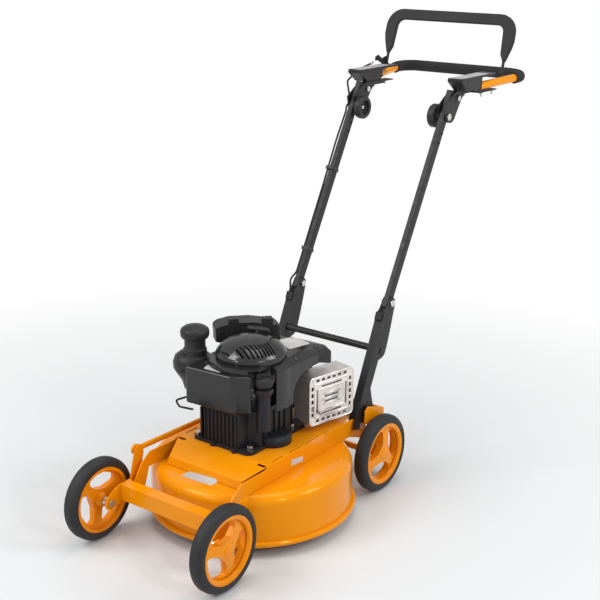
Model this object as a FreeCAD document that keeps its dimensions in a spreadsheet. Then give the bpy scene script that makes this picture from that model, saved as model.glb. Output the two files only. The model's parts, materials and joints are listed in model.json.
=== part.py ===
import FreeCAD, Part
import math
import os
import re
import Sketcher

# Walk-behind rotary petrol mower.  Units are millimetres.
# +Z is up, -Y is the mower's front and +X is its left-hand side.
# The origin lies on the ground, straight below the engine's crankshaft.

Vec = FreeCAD.Vector
X_AXIS = Vec(1, 0, 0)
Y_AXIS = Vec(0, 1, 0)
Z_AXIS = Vec(0, 0, 1)
SIDES = (("left", 1), ("right", -1))

DIMENSIONS = {
    # wheels and their swinging axles
    "wheel_radius": 100,
    "wheel_x": 192,
    "tyre_width": 35,
    "tyre_seat": 80,
    "axle_height": 100,
    "front_axle_y": -334,
    "rear_axle_y": 282,
    "axle_lever": 76,
    "front_pivot_height": 104,
    "rear_pivot_height": 90,
    "bolt_radius": 6,
    "running_gap": 0.06,
    "arm_lean": 26,
    "arm_rise": 91,
    "link_x": -166.5,
    "link_radius": 6.8,
    # cutting deck
    "deck_radius": 247,
    "deck_lip_radius": 256,
    "deck_bottom": 26,
    "deck_lip_height": 13,
    "deck_top": 152,
    "deck_sheet": 3,
    "shoulder_radius": 25,
    # folded chassis
    "plate_top": 196,
    "plate_half": 139.5,
    "plate_front": -110,
    "nose_front": -175,
    "nose_top": 172,
    "nose_half": 112,
    "plate_rear": 240,
    "sheet": 3,
    "frame_sheet": 3.5,
    # handle
    "channel_inner": 131,
    "channel_outer": 153,
    "foot_y": 240,
    "foot_height": 178,
    "head_y": 374,
    "head_height": 469,
    "base_y": 250,
    "base_height": 174,
    "fold_y": 380.4,
    "fold_height": 466.6,
    "tube_width": 15.4,
    "tube_depth": 22,
    "tube_x": 142,
    "tube_offset": 5,
    "tilt_y": 626.4,
    "tilt_height": 911.6,
    "upper_bolt_y": 673,
    "upper_bolt_height": 955,
    "handlebar_radius": 11,
    "grip_radius": 15.5,
    "grip_y": 955,
    "grip_height": 991,
    "grip_half": 199,
    "bar_end_x": 167,
    "bar_end_y": 757,
    "bar_end_height": 979,
    "bail_pivot_y": 849,
    "bail_pivot_height": 1005,
    "bail_half": 186,
    "bail_reach": 144,
    "bail_lean": 16,
    # engine
    "case_left": 77,
    "case_right": -104,
    "case_front": -104,
    "case_rear": 126,
    "case_top": 292,
    "shroud_top": 404,
    "recoil_radius": 86,
    "recoil_top": 452,
    "shaft_radius": 12.5,
    "blade_radius": 232,
    "blade_height": 62,
    "tank_top": 390,
    "tank_bottom": 298,
    "filler_x": -144,
    "filler_y": -40,
    "dip_x": 80,
    "dip_y": -54,
    "guard_x": 97,
    "guard_y": 172,
    "guard_turn": -12,
}

doc = FreeCAD.newDocument("rotary_mower")
sheet = doc.addObject("Spreadsheet::Sheet", "dims")
for row, (alias, number) in enumerate(DIMENSIONS.items(), start=1):
    sheet.set(f"A{row}", alias)
    sheet.set(f"B{row}", str(number))
    sheet.setAlias(f"B{row}", alias)
doc.recompute()

nodes = []


# ---------------------------------------------------------------- expressions

def in_sheet(expression):
    """Point every known alias of an expression at the spreadsheet."""
    def point(match):
        word = match.group(0)
        return "dims." + word if word in DIMENSIONS else word
    return re.sub(r"[a-z]\w*", point, str(expression))


def value(expression):
    """The number that an expression over the spreadsheet gives."""
    return float(sheet.evalExpression(in_sheet(expression)))


def bind(item, **settings):
    for name, expression in settings.items():
        item.setExpression(name, in_sheet(expression))
    return item


def place(item, x=0, y=0, z=0, axis=Z_AXIS, turn=0):
    """Place an item at bound coordinates, turned about an axis by degrees."""
    item.Placement = FreeCAD.Placement(Vec(0, 0, 0), FreeCAD.Rotation(axis, turn))
    for letter, expression in (("x", x), ("y", y), ("z", z)):
        item.setExpression("Placement.Base." + letter, in_sheet(expression))
    return item


def at(x, y, z):
    return Vec(value(x), value(y), value(z))


# ---------------------------------------------------------------- primitives

def box(name, x, y, z):
    """A box between bound low and high corners."""
    item = doc.addObject("Part::Box", name)
    for size, (low, high) in (("Length", x), ("Width", y), ("Height", z)):
        item.setExpression(size, in_sheet(f"({high}) - ({low})"))
    return place(item, x[0], y[0], z[0])


def rod(name, radius, length, x, y, z, along=Z_AXIS):
    """A round bar that starts at a bound point and runs along a direction."""
    item = doc.addObject("Part::Cylinder", name)
    bind(item, Radius=radius, Height=length)
    place(item, x, y, z)
    item.Placement = FreeCAD.Placement(item.Placement.Base, FreeCAD.Rotation(Z_AXIS, along))
    return item


def hexagon(name, radius, length, x, y, z, along=Z_AXIS):
    item = doc.addObject("Part::Prism", name)
    item.Polygon = 6
    bind(item, Circumradius=radius, Height=length)
    place(item, x, y, z)
    item.Placement = FreeCAD.Placement(item.Placement.Base, FreeCAD.Rotation(Z_AXIS, along))
    return item


def sketch_on(body, name, role, outline):
    """A closed sketch of straight lines, its corners pinned to bound values."""
    sketch = body.newObject("Sketcher::SketchObject", name)
    plane = [part for part in body.Origin.OriginFeatures if part.Role == role][0]
    sketch.AttachmentSupport = [(plane, "")]
    sketch.MapMode = "FlatFace"
    corners = [Vec(value(a), value(b), 0) for a, b in outline]
    count = len(corners)
    for index, corner in enumerate(corners):
        sketch.addGeometry(Part.LineSegment(corner, corners[(index + 1) % count]), False)
    for index in range(count):
        sketch.addConstraint(Sketcher.Constraint("Coincident", index, 2, (index + 1) % count, 1))
    for index, pair in enumerate(outline):
        for kind, number, expression in zip(("DistanceX", "DistanceY"), corners[index], pair):
            pin = sketch.addConstraint(Sketcher.Constraint(kind, -1, 1, index, 1, number))
            sketch.setExpression(f"Constraints[{pin}]", in_sheet(expression))
    return sketch


def padded(name, role, outline, length, offset=0):
    """A body padded from an outline; the offset moves it along the plane's normal."""
    body = doc.addObject("PartDesign::Body", name)
    sketch = sketch_on(body, name + "_outline", role, outline)
    pad = body.newObject("PartDesign::Pad", name + "_pad")
    pad.Profile = sketch
    bind(pad, Length=length)
    letter, sign = {"XY_Plane": ("z", ""), "XZ_Plane": ("y", "-"), "YZ_Plane": ("x", "")}[role]
    body.setExpression("Placement.Base." + letter, in_sheet(f"{sign}({offset})"))
    return body


def turned(name, outline, x=0, y=0, z=0, along=Z_AXIS):
    """A body of revolution; the outline holds (radius, height) pairs."""
    body = doc.addObject("PartDesign::Body", name)
    sketch = sketch_on(body, name + "_outline", "XZ_Plane", outline)
    spin = body.newObject("PartDesign::Revolution", name + "_turn")
    spin.Profile = sketch
    spin.ReferenceAxis = (sketch, ["V_Axis"])
    spin.Angle = 360
    place(body, x, y, z)
    body.Placement = FreeCAD.Placement(body.Placement.Base, FreeCAD.Rotation(Z_AXIS, along))
    return body


def fused(name, *items):
    item = doc.addObject("Part::MultiFuse", name)
    item.Shapes = list(items)
    item.Refine = True
    return item


def less(name, base, *tools):
    """The base with one or more tools cut away."""
    item = doc.addObject("Part::Cut", name)
    item.Base = base
    item.Tool = tools[0] if len(tools) == 1 else fused(name + "_tools", *tools)
    item.Refine = True
    return item


def rounded(name, base, radius, chosen):
    """The base with a fillet on each edge that a test picks."""
    doc.recompute()
    item = doc.addObject("Part::Fillet", name)
    item.Base = base
    size = value(radius)
    picked = [(number, size, size) for number, edge in enumerate(base.Shape.Edges, start=1)
              if chosen(edge)]
    item.Edges = picked
    return item


def runs_along(edge, axis):
    """Whether an edge is straight and parallel to an axis."""
    if edge.Curve.TypeId != "Part::GeomLine":
        return False
    return abs(edge.tangentAt(edge.FirstParameter).dot(axis)) > 0.999


def wire_through(points, radius):
    """Straight runs through the points, joined by tangent arcs."""
    edges = []
    start = points[0]
    for index in range(1, len(points) - 1):
        before, corner, after = points[index - 1], points[index], points[index + 1]
        back = (before - corner).normalize()
        ahead = (after - corner).normalize()
        half = back.getAngle(ahead) / 2
        reach = radius / math.tan(half)
        first = corner + back * reach
        last = corner + ahead * reach
        centre = corner + (back + ahead).normalize() * (radius / math.sin(half))
        middle = centre + (corner - centre).normalize() * radius
        edges.append(Part.LineSegment(start, first).toShape())
        edges.append(Part.Arc(first, middle, last).toShape())
        start = last
    edges.append(Part.LineSegment(start, points[-1]).toShape())
    return Part.Wire(edges)


def bent_bar(name, points, bend, radius):
    """A round bar swept along a bent path."""
    spine = doc.addObject("Part::Feature", name + "_path")
    spine.Shape = wire_through(points, bend)
    circle = doc.addObject("Part::Circle", name + "_section")
    bind(circle, Radius=radius)
    heading = (points[1] - points[0]).normalize()
    circle.Placement = FreeCAD.Placement(points[0], FreeCAD.Rotation(Z_AXIS, heading))
    item = doc.addObject("Part::Sweep", name)
    item.Sections = [circle]
    item.Spine = (spine, [f"Edge{n}" for n in range(1, len(spine.Shape.Edges) + 1)])
    item.Solid = True
    item.Frenet = True
    return item


def together(name, *items):
    """Separate solids of one kind that share a node."""
    item = doc.addObject("Part::Compound", name)
    item.Links = list(items)
    return item


def node(name, item):
    """Register an object as a sub-part under its own label."""
    item.Label = name
    nodes.append(item)
    return item


# ---------------------------------------------------------------- deck and chassis

def make_deck():
    inner = "deck_radius - deck_sheet"
    shell = turned("deck_turned", [
        (inner, "deck_bottom"),
        ("deck_lip_radius", "deck_bottom"),
        ("deck_lip_radius", "deck_bottom + deck_lip_height"),
        ("deck_radius", "deck_bottom + deck_lip_height"),
        ("deck_radius", "deck_top"),
        (40, "deck_top"),
        (40, "deck_top - deck_sheet"),
        (inner, "deck_top - deck_sheet"),
    ])
    doc.recompute()
    lip_low = value("deck_bottom")
    lip_high = value("deck_bottom + deck_lip_height")

    def is_lip(edge):
        box_of = edge.BoundBox
        return box_of.ZLength < 0.01 and box_of.XMax > value("deck_lip_radius") - 0.1

    def is_shoulder(edge):
        box_of = edge.BoundBox
        wide = value("deck_radius - deck_sheet") - 0.1 < box_of.XMax < value("deck_radius") + 0.1
        return box_of.ZLength < 0.01 and wide and box_of.ZMin > lip_high + 10

    soft = rounded("deck_lip_rounded", shell, "deck_lip_height * 0.45", is_lip)
    assert lip_low < lip_high
    node("deck_shell", rounded("deck_shell", soft, "shoulder_radius", is_shoulder))


def make_chassis():
    """Top plate with its sloping nose and the slots beside each fold."""
    top = box("plate_flat", ("-plate_half", "plate_half"), ("plate_front", "plate_rear"),
              ("plate_top - sheet", "plate_top"))
    nose = doc.addObject("Part::Feature", "plate_nose")
    width = value("plate_half")
    tip = value("nose_half")
    back, front = value("plate_front"), value("nose_front")
    high, low = value("plate_top"), value("nose_top")
    skin = value("sheet")
    foot = value("deck_top") + 1
    reach = front - (low - foot) * 0.35
    lower = tip + 4
    rings = []
    for drop in (0, skin):
        rings.append([Vec(-width, back, high - drop), Vec(width, back, high - drop)])
        rings.append([Vec(-tip, front + drop * 0.5, low - drop), Vec(tip, front + drop * 0.5, low - drop)])
        rings.append([Vec(-lower, reach + drop, foot), Vec(lower, reach + drop, foot)])
    faces = []

    def face(*corners):
        faces.append(Part.Face(Part.makePolygon(list(corners) + [corners[0]])))

    outer, inner = rings[:3], rings[3:]
    for level in range(2):
        face(outer[level][0], outer[level][1], outer[level + 1][1], outer[level + 1][0])
        face(inner[level][0], inner[level][1], inner[level + 1][1], inner[level + 1][0])
        for end in (0, 1):
            face(outer[level][end], outer[level + 1][end], inner[level + 1][end])
            face(outer[level][end], inner[level + 1][end], inner[level][end])
    face(outer[0][0], outer[0][1], inner[0][1], inner[0][0])
    face(outer[2][0], outer[2][1], inner[2][1], inner[2][0])
    nose.Shape = Part.Solid(Part.Shell(faces))
    slots = []
    for label, sign in SIDES:
        for index in range(4):
            start = f"-92 + {index} * 68"
            edge = sign * 133
            slots.append(box(f"slot_{label}_{index}", (edge - 1.6, edge + 1.6),
                             (start, f"{start} + 44"), ("plate_top - sheet - 1", "plate_top + 1")))
    bore = rod("plate_bore", 42, "sheet + 2", 0, 0, "plate_top - sheet - 1")
    for label, sign in SIDES:
        slots.append(box(f"foot_notch_{label}", sorted((sign * 129, sign * 141)), (210, 242),
                         (150, 200)))
        slots.append(box(f"corner_relief_{label}", sorted((sign * 112, sign * 134)), (-119, -112),
                         (180, 200)))
    node("chassis_plate", less("chassis_plate", fused("plate_whole", top, nose), bore, *slots))


def make_side_frames():
    """Side plates from the front pivot to the rear pivot, standing on the deck."""
    front = "front_axle_y + axle_lever"
    rear = "rear_axle_y + axle_lever"
    outline = [
        (f"{front} - 17", "front_pivot_height - 8"), (f"{front} - 14", "front_pivot_height + 16"),
        (-241, 168), (-211, 189), (-125, 189), ("plate_front", "plate_top"),
        ("plate_rear - 8", "plate_top"), ("plate_rear + 6", "plate_top - 8"), (300, 150),
        (f"{rear} + 12", "rear_pivot_height + 22"), (f"{rear} + 20", "rear_pivot_height"),
        (f"{rear} + 10", "rear_pivot_height - 18"), (f"{rear} - 10", "rear_pivot_height - 18"),
        (262, 134), (214, "deck_top + 0.3"), (-216, "deck_top + 0.3"),
        (-238, "front_pivot_height - 16"), (f"{front} - 6", "front_pivot_height - 20"),
    ]
    for label, sign in SIDES:
        inner = "plate_half" if sign > 0 else "-plate_half - frame_sheet"
        plate = padded(f"frame_{label}_plate", "YZ_Plane", outline, "frame_sheet", inner)
        holes = []
        for tag, y, z, radius in (
            ("front", front, "front_pivot_height", "bolt_radius"),
            ("rear", rear, "rear_pivot_height", "bolt_radius"),
            ("base", "base_y", "base_height", 5),
        ):
            holes.append(rod(f"frame_{label}_{tag}_hole", radius, "frame_sheet + 2",
                             f"{inner} - 1", y, z, X_AXIS))
        node(f"side_frame_{label}", less(f"side_frame_{label}", plate, *holes))


def make_rear_guard():
    """Rear panel behind the deck with one wing beside the left handle foot."""
    panel = box("guard_panel", (-138, 165), (334, 337), (142, 199))
    wing = padded("guard_wing", "YZ_Plane",
                  [(250, 180), (252, 214), (264, 224), (336, 199), (336, 150)], 3, 162)
    shelf = box("guard_shelf", (-138, 165), (296, 336), (196, 199))
    notch_left = box("guard_notch_left", (115, 161.5), (290, 330), (190, 205))
    notch_right = box("guard_notch_right", (-161.5, -115), (290, 330), (190, 205))
    body = fused("guard_body", panel, wing, shelf)
    node("rear_guard", less("rear_guard", body, notch_left, notch_right))


def make_root_fasteners():
    front = "front_axle_y + axle_lever"
    shaft = rod("rear_pivot_shaft", "bolt_radius", 318, -159, "rear_axle_y + axle_lever",
                "rear_pivot_height", X_AXIS)
    node("rear_pivot_shaft", shaft)
    bolts = []
    for label, sign in SIDES:
        along = Vec(sign, 0, 0)
        pivot = rod(f"pivot_{label}", "bolt_radius", 42, sign * 130, front, "front_pivot_height", along)
        cap = hexagon(f"pivot_{label}_nut", 10, 6, sign * 130, front, "front_pivot_height", along)
        bolts.append(fused(f"pivot_bolt_{label}", pivot, cap))
        base = rod(f"base_{label}", 5, 28, sign * 128, "base_y", "base_height", along)
        head = rod(f"base_{label}_head", 8.5, 3.5, sign * 153.2, "base_y", "base_height", along)
        bolts.append(fused(f"base_bolt_{label}", base, head))
        fold = rod(f"fold_{label}", 5, 30, sign * 125, "fold_y", "fold_height", along)
        head = rod(f"fold_{label}_head", 9, 3.5, sign * 153.2, "fold_y", "fold_height", along)
        tail = hexagon(f"fold_{label}_tail", 8.5, 5, sign * 125.8, "fold_y", "fold_height", along)
        bolts.append(fused(f"fold_bolt_{label}", fold, head, tail))
    spots = ((-91, -91), (60, -80), (60, 82), (-91, 113))
    for index, (x, y) in enumerate(spots):
        bolts.append(hexagon(f"engine_bolt_{index}", 7.5, 7, x, y, "plate_top + 9.2"))
    node("frame_bolts", together("frame_bolts", *bolts))


# ---------------------------------------------------------------- wheels and axles

def make_tyre(name, side, axle_y):
    inner = "tyre_seat"
    half = "tyre_width / 2"
    ring = turned(f"{name}_ring", [
        (inner, f"-{half}"), ("wheel_radius", f"-{half}"),
        ("wheel_radius", half), (inner, half),
    ], f"{side} * wheel_x", axle_y, "axle_height", X_AXIS)

    def is_tread(edge):
        reach = edge.BoundBox.ZMax - value("axle_height")
        return reach > value("wheel_radius") - 0.1 and edge.BoundBox.XLength < 0.01

    node(name, rounded(name, ring, 13, is_tread))


def make_rim(name, side, axle_y, phase):
    """Barrel, closed hub and a deep dished disc with three windows, which leave three spokes."""
    spot = (f"{side} * wheel_x", axle_y, "axle_height", Vec(side, 0, 0))
    barrel = turned(f"{name}_barrel", [
        (72, -16), ("tyre_seat", -16), ("tyre_seat", 16), (75, 17), (69, 14), (67, 9), (72, 4)],
        *spot)
    hub = turned(f"{name}_hub", [
        ("bolt_radius + running_gap", -20), (15, -20), (17, -4), (17, 12), (14, 15.5), (8, 17),
        (0, 17), (0, 12), ("bolt_radius + running_gap", 12)], *spot)
    disc = turned(f"{name}_disc", [(14, -2), (73, -8), (73, 5), (52, 9), (32, 13), (14, 14)], *spot)
    wide, near, far = 50, 27, 66
    windows = []
    for index in range(3):
        outline = [(far * math.sin(math.radians(a)), far * math.cos(math.radians(a)))
                   for a in (-wide, -wide / 2, 0, wide / 2, wide)]
        outline += [(near * math.sin(math.radians(a)), near * math.cos(math.radians(a)))
                    for a in (31, -31)]
        window = padded(f"{name}_window_{index}", "YZ_Plane", outline, 44, -22)
        soft = rounded(f"{name}_window_{index}_soft", window, 12,
                       lambda e: runs_along(e, X_AXIS) and is_corner(e, wide, near, far))
        place(soft, f"{side} * wheel_x", axle_y, "axle_height", X_AXIS, phase + 120 * index)
        windows.append(soft)
    spokes = less(f"{name}_spokes", disc, *windows)
    node(name, fused(name, barrel, hub, spokes))


def is_corner(edge, wide, near, far):
    """True for the four corners of a wheel window, not for the joints along its arc."""
    y, z = edge.CenterOfMass.y, edge.CenterOfMass.z
    reach = math.hypot(y, z)
    swing = abs(math.degrees(math.atan2(y, z)))
    return reach < near + 1 or (reach > far - 1 and swing > wide - 1)


def make_wheels():
    for end, axle_y in (("front", "front_axle_y"), ("rear", "rear_axle_y")):
        for label, sign in SIDES:
            phase = {"front": 12, "rear": 47}[end] * sign
            make_tyre(f"tyre_{end}_{label}", sign, axle_y)
            make_rim(f"rim_{end}_{label}", sign, axle_y, phase)


def make_wheel_bolts(end, axle_y, plate):
    """Stub axles: each bolt clamps its end plate and carries a wheel in its closed hub."""
    bolts = []
    for label, sign in SIDES:
        along = Vec(sign, 0, 0)
        tag = f"{end}_{label}"
        stub = rod(f"stub_{tag}", "bolt_radius", 203.4 - plate, sign * plate, axle_y,
                   "axle_height", along)
        collar = rod(f"stub_{tag}_collar", 11, 171.6 - plate - 4.4, sign * (plate + 4.4), axle_y,
                     "axle_height", along)
        head = hexagon(f"stub_{tag}_head", 9.5, 4, sign * (plate - 4.4), axle_y, "axle_height",
                       along)
        bolts.append(fused(f"wheel_bolt_{tag}", stub, collar, head))
    node(f"{end}_wheel_bolts", together(f"{end}_wheel_bolts", *bolts))


def make_front_axle():
    pivot = "front_axle_y + axle_lever"
    face = box("front_face", (-154, 154), (-303, -300), (96, 136))
    crown = box("front_crown", (-154, 154), (-303, -272), (133, 136))
    pieces = [face, crown]
    for label, sign in SIDES:
        inner = 150 if sign > 0 else -154
        pieces.append(padded(f"front_end_{label}", "YZ_Plane", [
            ("front_axle_y - 14", "axle_height - 12"), ("front_axle_y - 18", "axle_height + 4"),
            ("front_axle_y - 8", "axle_height + 18"), (-306, 136), (-268, 136),
            (f"{pivot} + 14", "front_pivot_height + 12"), (f"{pivot} + 16", "front_pivot_height - 4"),
            (f"{pivot} + 6", "front_pivot_height - 16"), (-300, 92),
            ("front_axle_y", "axle_height - 17")], 4, inner))
    bores = []
    for label, sign in SIDES:
        bores.append(rod(f"front_bore_{label}", "bolt_radius + running_gap", 12, sign * 147, pivot,
                         "front_pivot_height", Vec(sign, 0, 0)))
        bores.append(rod(f"front_stub_{label}", "bolt_radius", 12, sign * 147, "front_axle_y",
                         "axle_height", Vec(sign, 0, 0)))
    node("front_axle_beam", less("front_axle_beam", fused("front_beam", *pieces), *bores))
    node("front_axle_arm", make_arm("front_axle_arm", "front_axle_y + axle_lever",
                                    "front_pivot_height", -170, -154.3))
    make_wheel_bolts("front", "front_axle_y", 150)


def make_arm(name, pivot, height, low_x, high_x):
    """Folded upright arm on a pivot, with its pin for the connecting rod at the top."""
    top_y = f"{pivot} + arm_lean"
    top_z = f"{height} + arm_rise"
    outline = [
        (f"{pivot} - 15", f"{height} + 2"), (f"{top_y} - 15", f"{top_z} + 4"),
        (f"{top_y} - 8", f"{top_z} + 14"), (f"{top_y} + 6", f"{top_z} + 14"),
        (f"{top_y} + 14", f"{top_z} + 4"), (f"{top_y} + 14", f"{top_z} - 10"),
        (f"{pivot} + 15", f"{height} - 4"), (f"{pivot} + 4", f"{height} - 15"),
        (f"{pivot} - 10", f"{height} - 12"),
    ]
    plate = padded(name + "_plate", "YZ_Plane", outline, 3.2, high_x - 3.2)
    pin = rod(name + "_pin", 5, 16, high_x - 3, top_y, top_z, Vec(-1, 0, 0))
    spacer = rod(name + "_spacer", 8.5, 1.4, high_x - 3, top_y, top_z, Vec(-1, 0, 0))
    bore = rod(name + "_bore", "bolt_radius + running_gap", 12, high_x + 2, pivot, height,
               Vec(-1, 0, 0))
    return less(name, fused(name + "_body", plate, pin, spacer), bore)


def make_rear_axle():
    pivot = "rear_axle_y + axle_lever"
    pieces = [box("rear_cross", (-150, 150), (f"{pivot} - 24", f"{pivot} - 21"), (56, 71)),
              box("rear_foot", (-150, 150), (f"{pivot} - 24", f"{pivot} + 6"), (56, 59))]
    bores = []
    for label, sign in SIDES:
        inner = 148 if sign > 0 else -152
        pieces.append(padded(f"rear_end_{label}", "YZ_Plane", [
            ("rear_axle_y - 16", "axle_height - 4"), ("rear_axle_y - 10", "axle_height + 12"),
            ("rear_axle_y + 6", "axle_height + 17"), (f"{pivot} + 8", "rear_pivot_height + 16"),
            (f"{pivot} + 17", "rear_pivot_height"), (f"{pivot} + 10", 56), (f"{pivot} - 26", 56),
            ("rear_axle_y + 2", "axle_height - 18")], 4, inner))
        bores.append(rod(f"rear_bore_{label}", "bolt_radius + running_gap", 12, sign * 145, pivot,
                         "rear_pivot_height", Vec(sign, 0, 0)))
        bores.append(rod(f"rear_stub_{label}", "bolt_radius", 12, sign * 145, "rear_axle_y",
                         "axle_height", Vec(sign, 0, 0)))
    node("rear_axle_beam", less("rear_axle_beam", fused("rear_beam", *pieces), *bores))
    arm = make_arm("rear_axle_arm_base", pivot, "rear_pivot_height", -170, -152.3)
    lever = padded("height_lever_blade", "YZ_Plane", [
        (378, 168), (398, 166), (446, 268), (442, 276), (432, 276)], 3.2, -155.5)
    knob = rod("height_lever_knob", 12, 46, -176, 438, 268, X_AXIS)
    node("rear_axle_arm", fused("rear_axle_arm", arm, lever, knob))
    make_wheel_bolts("rear", "rear_axle_y", 148)


def make_link_rod():
    """Tube with flattened eyes, which ties the two upright arms together."""
    front_y = value("front_axle_y + axle_lever + arm_lean")
    front_z = value("front_pivot_height + arm_rise")
    rear_y = value("rear_axle_y + axle_lever + arm_lean")
    rear_z = value("rear_pivot_height + arm_rise")
    x = value("link_x")
    span = Vec(0, rear_y - front_y, rear_z - front_z)
    along = Vec(span).normalize()
    tube = doc.addObject("Part::Cylinder", "link_tube")
    bind(tube, Radius="link_radius")
    tube.Height = span.Length - 24
    tube.Placement = FreeCAD.Placement(Vec(x, front_y, front_z) + along * 12,
                                       FreeCAD.Rotation(Z_AXIS, along))
    pieces = [tube]
    bores = []
    for tag, y, z in (("front", front_y, front_z), ("rear", rear_y, rear_z)):
        pieces.append(rod(f"link_eye_{tag}", 13, 7, x - 3.5, y, z, X_AXIS))
        bores.append(rod(f"link_bore_{tag}", "5 + running_gap", 20, x - 10, y, z, X_AXIS))
    node("link_rod", less("link_rod", fused("link_body", *pieces), *bores))


# ---------------------------------------------------------------- handle

def along_channel(s, o):
    """A point of the channel's own plane: s up its length, o towards its rear."""
    y0, z0 = value("foot_y"), value("foot_height")
    run, rise = value("head_y") - y0, value("head_height") - z0
    length = math.hypot(run, rise)
    dy, dz = run / length, rise / length
    return y0 + dy * s + dz * o, z0 + dz * s - dy * o


def along_tube(s, o):
    """A point of the upper tube's plane: s above its fold bolt, o towards its rear."""
    y0, z0 = value("fold_y"), value("fold_height")
    run, rise = value("tilt_y") - y0, value("tilt_height") - z0
    length = math.hypot(run, rise)
    dy, dz = run / length, rise / length
    shift = o - value("tube_offset")
    return y0 + dy * s + dz * shift, z0 + dz * s - dy * shift


def tube_span():
    """Distance between the fold bolt and the tilt bolt."""
    return math.hypot(value("tilt_y - fold_y"), value("tilt_height - fold_height"))


def outline_along(path, corners):
    return [path(s, o) for s, o in corners]


def make_handle_channels():
    """Folded channels: two cheeks, a front web and a stop block on each side."""
    cheek = outline_along(along_channel, [
        (-14, -19), (286, -19), (300, -11), (331, -5), (337, 6), (332, 18), (320, 23),
        (252, 32), (206, 36), (190, 35), (180, 26), (172, 13), (98, 11), (80, 25), (55, 46),
        (30, 44), (-8, 22)])
    web = outline_along(along_channel, [(16, -19), (286, -19), (286, -16), (16, -16)])
    stop = outline_along(along_channel, [(266, -18), (286, -18), (290, -26), (270, -25)])
    slot = outline_along(along_channel, [(187, 6), (204, 6), (204, 11), (187, 11)])
    pin_hole = along_channel(60, 13)
    for label, sign in SIDES:
        low_x = "channel_inner" if sign > 0 else "-channel_outer"
        width = "channel_outer - channel_inner"
        sheet_of = 3
        pieces = [
            padded(f"cheek_{label}_low", "YZ_Plane", cheek, sheet_of, low_x),
            padded(f"cheek_{label}_high", "YZ_Plane", cheek, sheet_of, f"{low_x} + {width} - 3"),
            padded(f"web_{label}", "YZ_Plane", web, width, low_x),
            padded(f"stop_{label}", "YZ_Plane", stop, "channel_outer - channel_inner - 4",
                   f"{low_x} + 2"),
        ]
        holes = [
            rod(f"channel_{label}_base_hole", 5, 30, f"{low_x} - 2", "base_y", "base_height", X_AXIS),
            rod(f"channel_{label}_fold_hole", 5, 30, f"{low_x} - 2", "fold_y", "fold_height", X_AXIS),
            rod(f"channel_{label}_pin_hole", 3, 30, f"{low_x} - 2", *pin_hole, X_AXIS),
            padded(f"channel_{label}_slot", "YZ_Plane", slot, 30, f"{low_x} - 2"),
        ]
        whole = fused(f"channel_{label}_whole", *pieces)
        node(f"handle_channel_{label}", less(f"handle_channel_{label}", whole, *holes))


def make_cross_tube():
    y, z = along_channel(198, -6)
    tube = rod("cross_tube_bar", 9, "2 * channel_inner - 0.4", "-channel_inner + 0.2", y, z, X_AXIS)
    bore = rod("cross_tube_bore", 7, 300, -150, y, z, X_AXIS)
    node("cross_tube", less("cross_tube", tube, bore))


def make_upper_tubes():
    """Square tubes that turn on the fold bolts."""
    top = tube_span() + 68
    half = value("tube_depth") / 2
    skin = 1.8
    outer = outline_along(along_tube, [(-15, -half), (top, -half), (top, half), (-15, half)])
    inner = outline_along(along_tube, [(-20, skin - half), (top - 2, skin - half),
                                       (top - 2, half - skin), (-20, half - skin)])
    for label, sign in SIDES:
        low_x = f"{sign} * tube_x - tube_width / 2"
        block = padded(f"tube_{label}_outer", "YZ_Plane", outer, "tube_width", low_x)
        axis = Vec(0, *along_tube(1, 0)) - Vec(0, *along_tube(0, 0))
        soft = rounded(f"tube_{label}_soft", block, 2, lambda e: runs_along(e, axis))
        hollow = padded(f"tube_{label}_inner", "YZ_Plane", inner, f"tube_width - {2 * skin}",
                        f"{low_x} + {skin}")
        start = sign * 128
        out = Vec(sign, 0, 0)
        holes = [
            rod(f"tube_{label}_fold_hole", "5 + running_gap", 30, start, "fold_y", "fold_height", out),
            rod(f"tube_{label}_tilt_hole", "5 + running_gap", 30, start, "tilt_y", "tilt_height", out),
        ]
        for index in range(2):
            spare = along_tube(tube_span() - 48 - 26 * index, 3)
            holes.append(rod(f"tube_{label}_spare_{index}", 3.2, 30, start, *spare, out))
        node(f"upper_tube_{label}", less(f"upper_tube_{label}", soft, hollow, *holes))


def make_head_brackets():
    """Cheeks beside each upper tube, joined behind it, with a rail under the handlebar."""
    cheek = [(606, 940), (614, 906), (626, 896), (644, 894), (656, 900), (690, 948), (706, 963),
             (760, 963), (760, 972.8), (664, 972.8), (640, 962)]
    brackets = []
    for label, sign in SIDES:
        pieces = []
        for tag, low in (("outer", 150.2), ("inner", 130.8)):
            low_x = low if sign > 0 else -low - 3
            pieces.append(padded(f"bracket_{label}_{tag}", "YZ_Plane", cheek, 3, low_x))
        bridge = sorted((sign * 131, sign * 153.2))
        pieces.append(box(f"bracket_{label}_back", bridge, (704, 707), (958, 972.8)))
        rail = sorted((sign * 150.2, sign * 180))
        pieces.append(box(f"bracket_{label}_rail", rail, (740, 834), (963, 966)))
        holes = [
            rod(f"bracket_{label}_tilt_hole", 5, 30, sign * 128, "tilt_y", "tilt_height",
                Vec(sign, 0, 0)),
            rod(f"bracket_{label}_upper_hole", 4, 30, sign * 128, "upper_bolt_y",
                "upper_bolt_height", Vec(sign, 0, 0)),
        ]
        brackets.append(less(f"bracket_{label}", fused(f"bracket_{label}_body", *pieces), *holes))
    node("head_brackets", together("head_brackets", *brackets))


def handlebar_path():
    """Centre line of the U-shaped handlebar, from the left end to the right end."""
    half = value("grip_half")
    y, z = value("grip_y"), value("grip_height")
    end = (value("bar_end_x"), value("bar_end_y"), value("bar_end_height"))
    return [
        Vec(end[0], end[1], end[2]), Vec(half, y - 4, z - 1), Vec(half - 46, y + 6, z + 1),
        Vec(46 - half, y + 6, z + 1), Vec(-half, y - 4, z - 1), Vec(-end[0], end[1], end[2]),
    ]


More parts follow.
